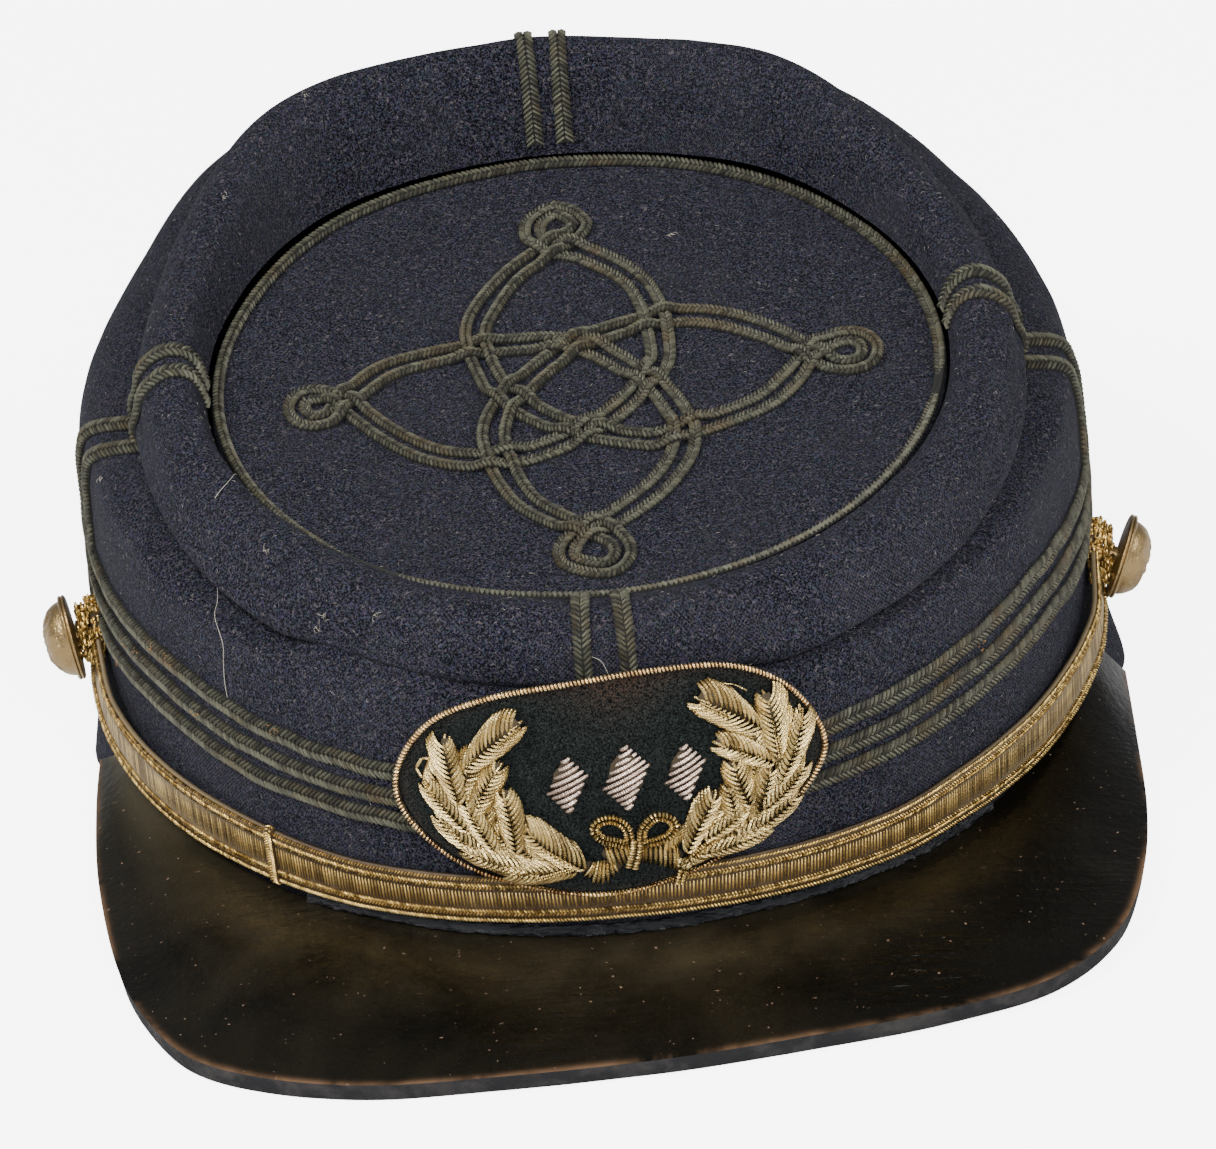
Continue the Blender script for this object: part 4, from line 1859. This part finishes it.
def leaf_rods(runs, pads, leaf, lift):
    """Adds the threads of one leaf, and the padding under it."""
    foot, tip = Vector((leaf.foot_x, leaf.foot_z)), Vector((leaf.tip_x, leaf.tip_z))
    ahead = (tip - foot).normalized()
    across = Vector((-ahead.y, ahead.x))
    long = (tip - foot).length

    def vein(s):
        return foot + ahead * long * s + across * leaf.bend * 4 * s * (1 - s)

    count = max(5, round(long / LEAF_STEP))
    middle = vein(0.5)
    out = badge_out(middle.x, middle.y)
    for i in range(count):
        s = LEAF_END * (i + 0.3) / count
        swell = sin(pi * (0.17 + 0.80 * s)) ** 0.75
        for part, half in ((1, leaf.left), (-1, leaf.right)):
            reach = THREAD_REACH * half * swell * chance.uniform(0.97, 1.03)
            start = vein(s) + across * part * 0.02
            end = start + across * part * reach + ahead * reach * THREAD_AHEAD
            bowed = start + across * part * reach * BEND_ACROSS + ahead * reach * BEND_AHEAD
            line = on_badge(start, lift), on_badge(bowed, lift * 0.95), on_badge(end, 0.25 + lift * 0.25)
            runs.append(Run(*line, out, THREAD_WIDE, THREAD_HIGH, 0.55 + spread_tone()))
    line = on_badge(vein(0.80), lift), on_badge(vein(0.9), lift * 0.8), on_badge(tip, 0.3)
    runs.append(Run(*line, out, THREAD_WIDE, THREAD_HIGH, 0.6))
    sizes = (long * 0.5, (leaf.left + leaf.right) * 0.44, lift * 0.72)
    pads.append((lay(on_badge(middle, 0.1), flat_on(out, Vector((ahead.x, 0, ahead.y))), out, *sizes), 0.1))


def fringe_rods(runs, fringe, lift):
    """Adds the threads that slant along one edge of a branch."""
    path = fine_path(fringe.line)
    for here, there in zip(path, path[1:]):
        ahead = (there - here).normalized()
        inward = Vector((-ahead.y, ahead.x)) * fringe.inward
        for k in range(max(1, round((there - here).length / LEAF_STEP * 1.4))):
            middle = here.lerp(there, chance.uniform(0.2, 0.8))
            start, end = middle + inward * 1.7 - ahead * 0.8, middle - inward * 0.25 + ahead * 1.3
            bowed = middle + inward * 0.4
            line = on_badge(start, lift), on_badge(bowed, lift * 0.85), on_badge(end, 0.25)
            out = badge_out(middle.x, middle.y)
            runs.append(Run(*line, out, THREAD_WIDE, THREAD_HIGH, 0.5 + spread_tone()))


def bundle_rods(runs, pads, bundle):
    """Adds upright threads side by side, each over a pad of its own."""
    for i in range(bundle.count):
        share = i / (bundle.count - 1)
        high = Vector(smooth(bundle.heads, share * (len(bundle.heads) - 1)))
        foot = Vector(smooth(bundle.feet, share * (len(bundle.feet) - 1)))
        centre = (high + foot) / 2
        out = badge_out(centre.x, centre.y)
        line = on_badge(high, 0.5), on_badge(centre, 1.4), on_badge(foot, 0.4)
        runs.append(Run(*line, out, 0.30, 0.44, 0.55 + spread_tone()))
        pads.append((lay(on_badge(centre, 0.1), out.orthogonal().normalized(), out, 1.1, 1.1, 0.7), 0.0))


def crimped(spots, line, off, half, high, pitch):
    """Adds a crimped coil along a line of points on the badge, as pairs of beads in checks."""
    path = fine_path(line)
    track = Track([on_badge(p, off) for p in path], [badge_out(p.x, p.y) for p in path])
    for i, (_, point, along, out, side) in enumerate(track.stations(pitch)):
        lean = (side + along * chance.uniform(0.1, 0.3)).normalized()
        for part in (-1, 1):
            value = 0.68 + 0.28 * part * (-1) ** i + chance.uniform(-0.2, 0.2)
            middle = point + side * part * half * 0.48
            spots.append((lay(middle, lean, out, half * 0.56, pitch * 0.62, high), value))


# Short crimped coils on the branches: their ends, then off, half width, height and pitch.
CRIMPS = {
    "wreath_left": [[(-17.0, 44.5), (-13.4, 47.4)], [(-12.2, 27.9), (-7.2, 24.3)],
                    [(-28.6, 38.2), (-27.3, 35.6)], [(-13.4, 22.3), (-7.4, 24.2)]],
    "wreath_right": [[(17.6, 45.8), (13.3, 48.8)], [(28.1, 41.6), (28.5, 44.6)],
                     [(24.8, 37.6), (24.4, 41.2)], [(27.2, 34.4), (28.2, 37.0)]],
}
CRIMP = (1.75, 0.42, 0.34, 0.40)

# %% [markdown]
# Each branch is one piece: pads first, in the padding's colour, then the threads over them.

# %% Lay the wreath
threads = 0
for name, leaves in LEAVES.items():
    runs, pads, beads = [], [], []
    for i, leaf in enumerate(leaves):
        leaf_rods(runs, pads, leaf, leaf.lift + LIFT_STEP * (i % 3))
    for fringe in FRINGES[name]:
        fringe_rods(runs, fringe, FRINGE_LIFT)
    for bundle in BUNDLES[name]:
        bundle_rods(runs, pads, bundle)
    for line in CRIMPS[name]:
        crimped(beads, line, *CRIMP)
    form = bmesh.new()
    strew(form, fine_bead, pads)
    second_finish(form)
    lay_rods(form, thread_rod, runs)
    strew(form, few, beads)
    keep(show(name + "_bullion", form, bullion, padding), "bullion", name)
    threads += len(runs)
print("wreath:", threads, "threads")

# %% [markdown]
# ## Bow and lozenges
# Where the branches meet there is a bow of crimped coil with two open loops, a knot between
# them, and a ball and a tail at its ends. The middle of the badge holds three plain lozenges of
# slanted silvery threads.

# %% Bow
Coil = namedtuple("Coil", "line off half high")
BOW_COILS = [
    Coil([(1.2, 27.9), (1.1, 30.0), (0.1, 31.5), (-1.5, 32.2), (-3.3, 31.7), (-3.8, 30.4), (-2.8, 29.0),
          (-1.2, 28.4), (0.4, 27.8)], 1.5, 0.92, 0.8),
    Coil([(3.0, 27.7), (3.3, 29.8), (4.3, 31.1), (5.7, 31.8), (7.4, 31.2), (8.1, 29.8), (7.0, 28.4),
          (5.3, 27.8), (3.6, 27.7)], 1.5, 0.92, 0.8),
    Coil([(2.4, 28.4), (2.0, 26.1), (1.2, 23.6)], 1.8, 1.1, 0.6),
    Coil([(10.2, 23.9), (12.3, 25.4), (14.0, 26.5)], 1.3, 0.75, 0.7),
    Coil([(9.0, 21.8), (8.5, 20.6), (8.2, 19.4)], 0.9, 0.85, 0.7),
]
BOW_PITCH = 0.5
BALL, BALL_RADIUS, BALL_BEADS = Vector((9.2, 23.4)), 1.25, 44
BALL_BEAD = (0.6, 0.3, 0.35)
# Two loose threads at the edge of the badge, and their width.
LOOSE = [([(-29.2, 38.0), (-30.0, 39.6), (-29.0, 41.2), (-27.2, 41.4)], 0.3),
         ([(14.8, 50.0), (16.8, 50.7), (19.0, 50.0), (21.0, 48.6)], 0.16)]
spots = []
for coil in BOW_COILS:
    crimped(spots, *coil, BOW_PITCH)
out = badge_out(BALL.x, BALL.y)
for _ in range(BALL_BEADS):
    lean = Vector((chance.uniform(-1, 1), chance.uniform(-1, 1), chance.uniform(-1, 1))).normalized()
    if lean.dot(out) > -0.3:
        place = on_badge(BALL, 0.9) + lean * BALL_RADIUS
        turn = lay(place, lean.orthogonal().normalized(), lean, *BALL_BEAD)
        spots.append((turn, chance.uniform(0.1, 0.95)))
form = bmesh.new()
strew(form, few, spots)
runs = []
for line, wide in LOOSE:
    line = [Vector(point) for point in line]
    for a, b in zip(line, line[1:]):
        bent = on_badge(a, 0.5), on_badge((a + b) / 2, 0.55), on_badge(b, 0.5)
        runs.append(Run(*bent, badge_out(a.x, a.y), wide, wide, 0.7))
lay_rods(form, thread_rod, runs)
keep(show("wreath_bow_bullion", form, bullion), "bullion", "wreath_bow")
print("bow:", len(spots), "beads")

# %% [markdown]
# Each lozenge is a pad with a row of slanted threads, longest in the middle.

# %% Lozenges
LOZENGES = {"left": (-7.4, 37.6, 3.9), "middle": (1.6, 38.2, 4.5), "right": (10.6, 37.9, 3.9)}
LOZENGE_THREADS, LOZENGE_TALL, LOZENGE_WIDE, LOZENGE_TILT = 2.4, 1.15, 0.8, 0.45
for name, (x, z, half) in LOZENGES.items():
    out = badge_out(x, z)
    count = round(LOZENGE_THREADS * half)
    runs = []
    for i in range(count):
        rise = (i + 0.5) / count * 2 - 1
        reach = LOZENGE_WIDE * half * (1 - abs(rise)) + 0.25
        centre = Vector((x, z + rise * half * LOZENGE_TALL))
        tilt = Vector((reach, reach * LOZENGE_TILT))
        line = on_badge(centre - tilt, 0.2), on_badge(centre, 0.75), on_badge(centre + tilt, 0.2)
        runs.append(Run(*line, out, 0.42, 0.4, 0.5 + chance.uniform(-0.3, 0.35)))
    pad = lay(badge_point(x, z, FRONT), flat_on(out, Vector((1, 0, 0))), out, 0.7 * half, 1.05 * half, 0.45)
    form = bmesh.new()
    strew(form, few, [(pad, 0.0)])
    second_finish(form)
    lay_rods(form, thread_rod, runs)
    keep(show("badge_lozenge_wire_" + name, form, silver, padding), "wire", "badge_lozenge_" + name)
print(len(LOZENGES), "lozenges")

# %% [markdown]
# ## Wear: loose fibres, hairs and lint
# Old wool sheds. Short pale fibres stand and lie all over it, and a few hairs and bits of lint
# have settled on the cap. They are thin bent rods, laid on the same surface as the wool.

# %% Loose fibres
fibre_rod = rod([(-1, 0), (-0.6, 1), (0, 1), (0.6, 1), (1, 0)], 3)
REGIONS = {"disc": 260, "roll": 420, "panel": 300, "band": 160}
FIBRE_RADIUS, TUFT_RADIUS = 0.028, 0.035


def random_spot(region):
    """A random point of the wool, and the way out of it."""
    angle = round(chance.uniform(0, 360), 2)
    if region == "disc":
        x, y = disc_reach(round(angle))
        near = sqrt(chance.random()) * 0.97
        return disc_point(x * near, y * near), DISC_UP
    if region == "roll":
        return cloth_point(ROLL, angle, round(chance.uniform(0.4, 4.7), 2))
    if region == "panel":
        return cloth_point(BODY, angle, round(chance.uniform(seam_t(round(angle)) + 0.3, 7.9), 2))
    return on_wall(angle, round(chance.uniform(2, 33), 1), 0)


def any_way(out, most=2 * pi):
    """A random direction square to a way out."""
    return (out.orthogonal().normalized() @ Matrix.Rotation(chance.uniform(0, most), 3, out)).normalized()


form = bmesh.new()
runs = []
for region, count in REGIONS.items():
    for _ in range(count):
        point, out = random_spot(region)
        ahead = any_way(out)
        long = chance.uniform(0.2, 0.9)
        side = out.cross(ahead) * chance.uniform(-0.4, 0.4) * long
        bowed, end = point + ahead * long * 0.5 + side + out * 0.12, point + ahead * long + out * 0.08
        tone = chance.uniform(0, 1)
        runs.append(Run(point + out * 0.06, bowed, end, out, FIBRE_RADIUS, FIBRE_RADIUS, tone))
lay_rods(form, fibre_rod, runs)
keep(show("loose_fibres", form, hair), "wool")
print("fibres:", len(runs))

# %% [markdown]
# Some of what lies on the cap is large enough to be seen one by one: three long hairs, tufts of
# lint, and rusty flecks on the braid. Each is placed by angle and height on the wall, by angle
# and row on the roll, or by x and y on the disc.

# %% Hairs, lint and rust
Strand = namedtuple("Strand", "where spots radius")
STRANDS = [
    Strand("wall", [(301.5, 54.3), (307.0, 52.1), (311.5, 48.8), (312.5, 41.4), (313.0, 36.5)], 0.05),
    Strand("roll", [(294.5, 4.25), (297.5, 3.42), (298.5, 2.71)], 0.045),
    Strand("roll", [(-2.5, 1.79), (-0.5, 1.58), (0.5, 0.96)], 0.045),
]
Speck = namedtuple("Speck", "where a b")
LINT = [
    Speck("wall", 279.0, 57.8), Speck("roll", 216.0, 3.08), Speck("roll", 237.0, 3.33),
    Speck("roll", 311.0, 2.58), Speck("roll", 322.5, 1.62), Speck("roll", 321.5, 1.29),
    Speck("disc", 16.9, 36.1), Speck("roll", 330.0, 2.2),
]
RUST = [
    Speck("wall", 289.5, 29.3), Speck("wall", 295.5, 36.4), Speck("wall", 303.0, 40.2),
    Speck("wall", 307.5, 33.4), Speck("wall", 292.0, 35.6), Speck("wall", 299.0, 40.4),
    Speck("wall", 46.0, 38.0), Speck("wall", 320.0, 37.2),
]
FIBRES_IN_TUFT, FLECKS_IN_SPOT = 6, 7
FLECK_OFF = 0.95      # flecks lie on top of the braid


def surface_spot(where, a, b, off):
    """A point off the wall, the roll or the disc, and the way out of it."""
    if where == "wall":
        return on_wall(a % 360, b, off)
    if where == "roll":
        return cloth_point(ROLL, a % 360, b, off)
    return disc_point(a, b, off), DISC_UP


# %% Lay hairs and lint
form = bmesh.new()
for strand in STRANDS:
    steps = 10 * (len(strand.spots) - 1)
    spots = [surface_spot(strand.where, *smooth(strand.spots, i / 10), strand.radius + 0.1)
             for i in range(steps + 1)]
    tube = strip_form(Track(*zip(*spots)), round_section(strand.radius, 6), 0.5)
    one_tone(tube, 0.75)
    pour(form, tube)
runs = []
for speck in LINT:
    for _ in range(FIBRES_IN_TUFT):
        point, out = surface_spot(*speck, 0.1)
        ahead = any_way(out)
        side = out.cross(ahead)
        point = point + side * chance.uniform(-0.8, 0.8) + ahead * chance.uniform(-0.8, 0.2)
        long = chance.uniform(0.5, 1.3)
        bowed = point + ahead * long * 0.5 + side * chance.uniform(-0.5, 0.5) + out * 0.2
        tone = chance.uniform(0.3, 1)
        runs.append(Run(point, bowed, point + ahead * long, out, TUFT_RADIUS, TUFT_RADIUS, tone))
lay_rods(form, fibre_rod, runs)
keep(show("lint_and_hairs", form, lint), "wool")
print(len(STRANDS), "hairs,", len(LINT), "tufts of lint")

# %% Lay rusty flecks
spots = []
for speck in RUST:
    for _ in range(FLECKS_IN_SPOT):
        a, b = speck.a + chance.uniform(-0.7, 0.7), speck.b + chance.uniform(-0.9, 0.9)
        point, out = surface_spot(speck.where, a, b, FLECK_OFF)
        fleck = lay(point, any_way(out, pi), out, chance.uniform(0.15, 0.35), 0.11, 0.14)
        spots.append((fleck, chance.uniform(0, 1)))
form = bmesh.new()
strew(form, few, spots)
keep(show("rust_flecks", form, rust), "braid")
print(len(spots), "flecks")
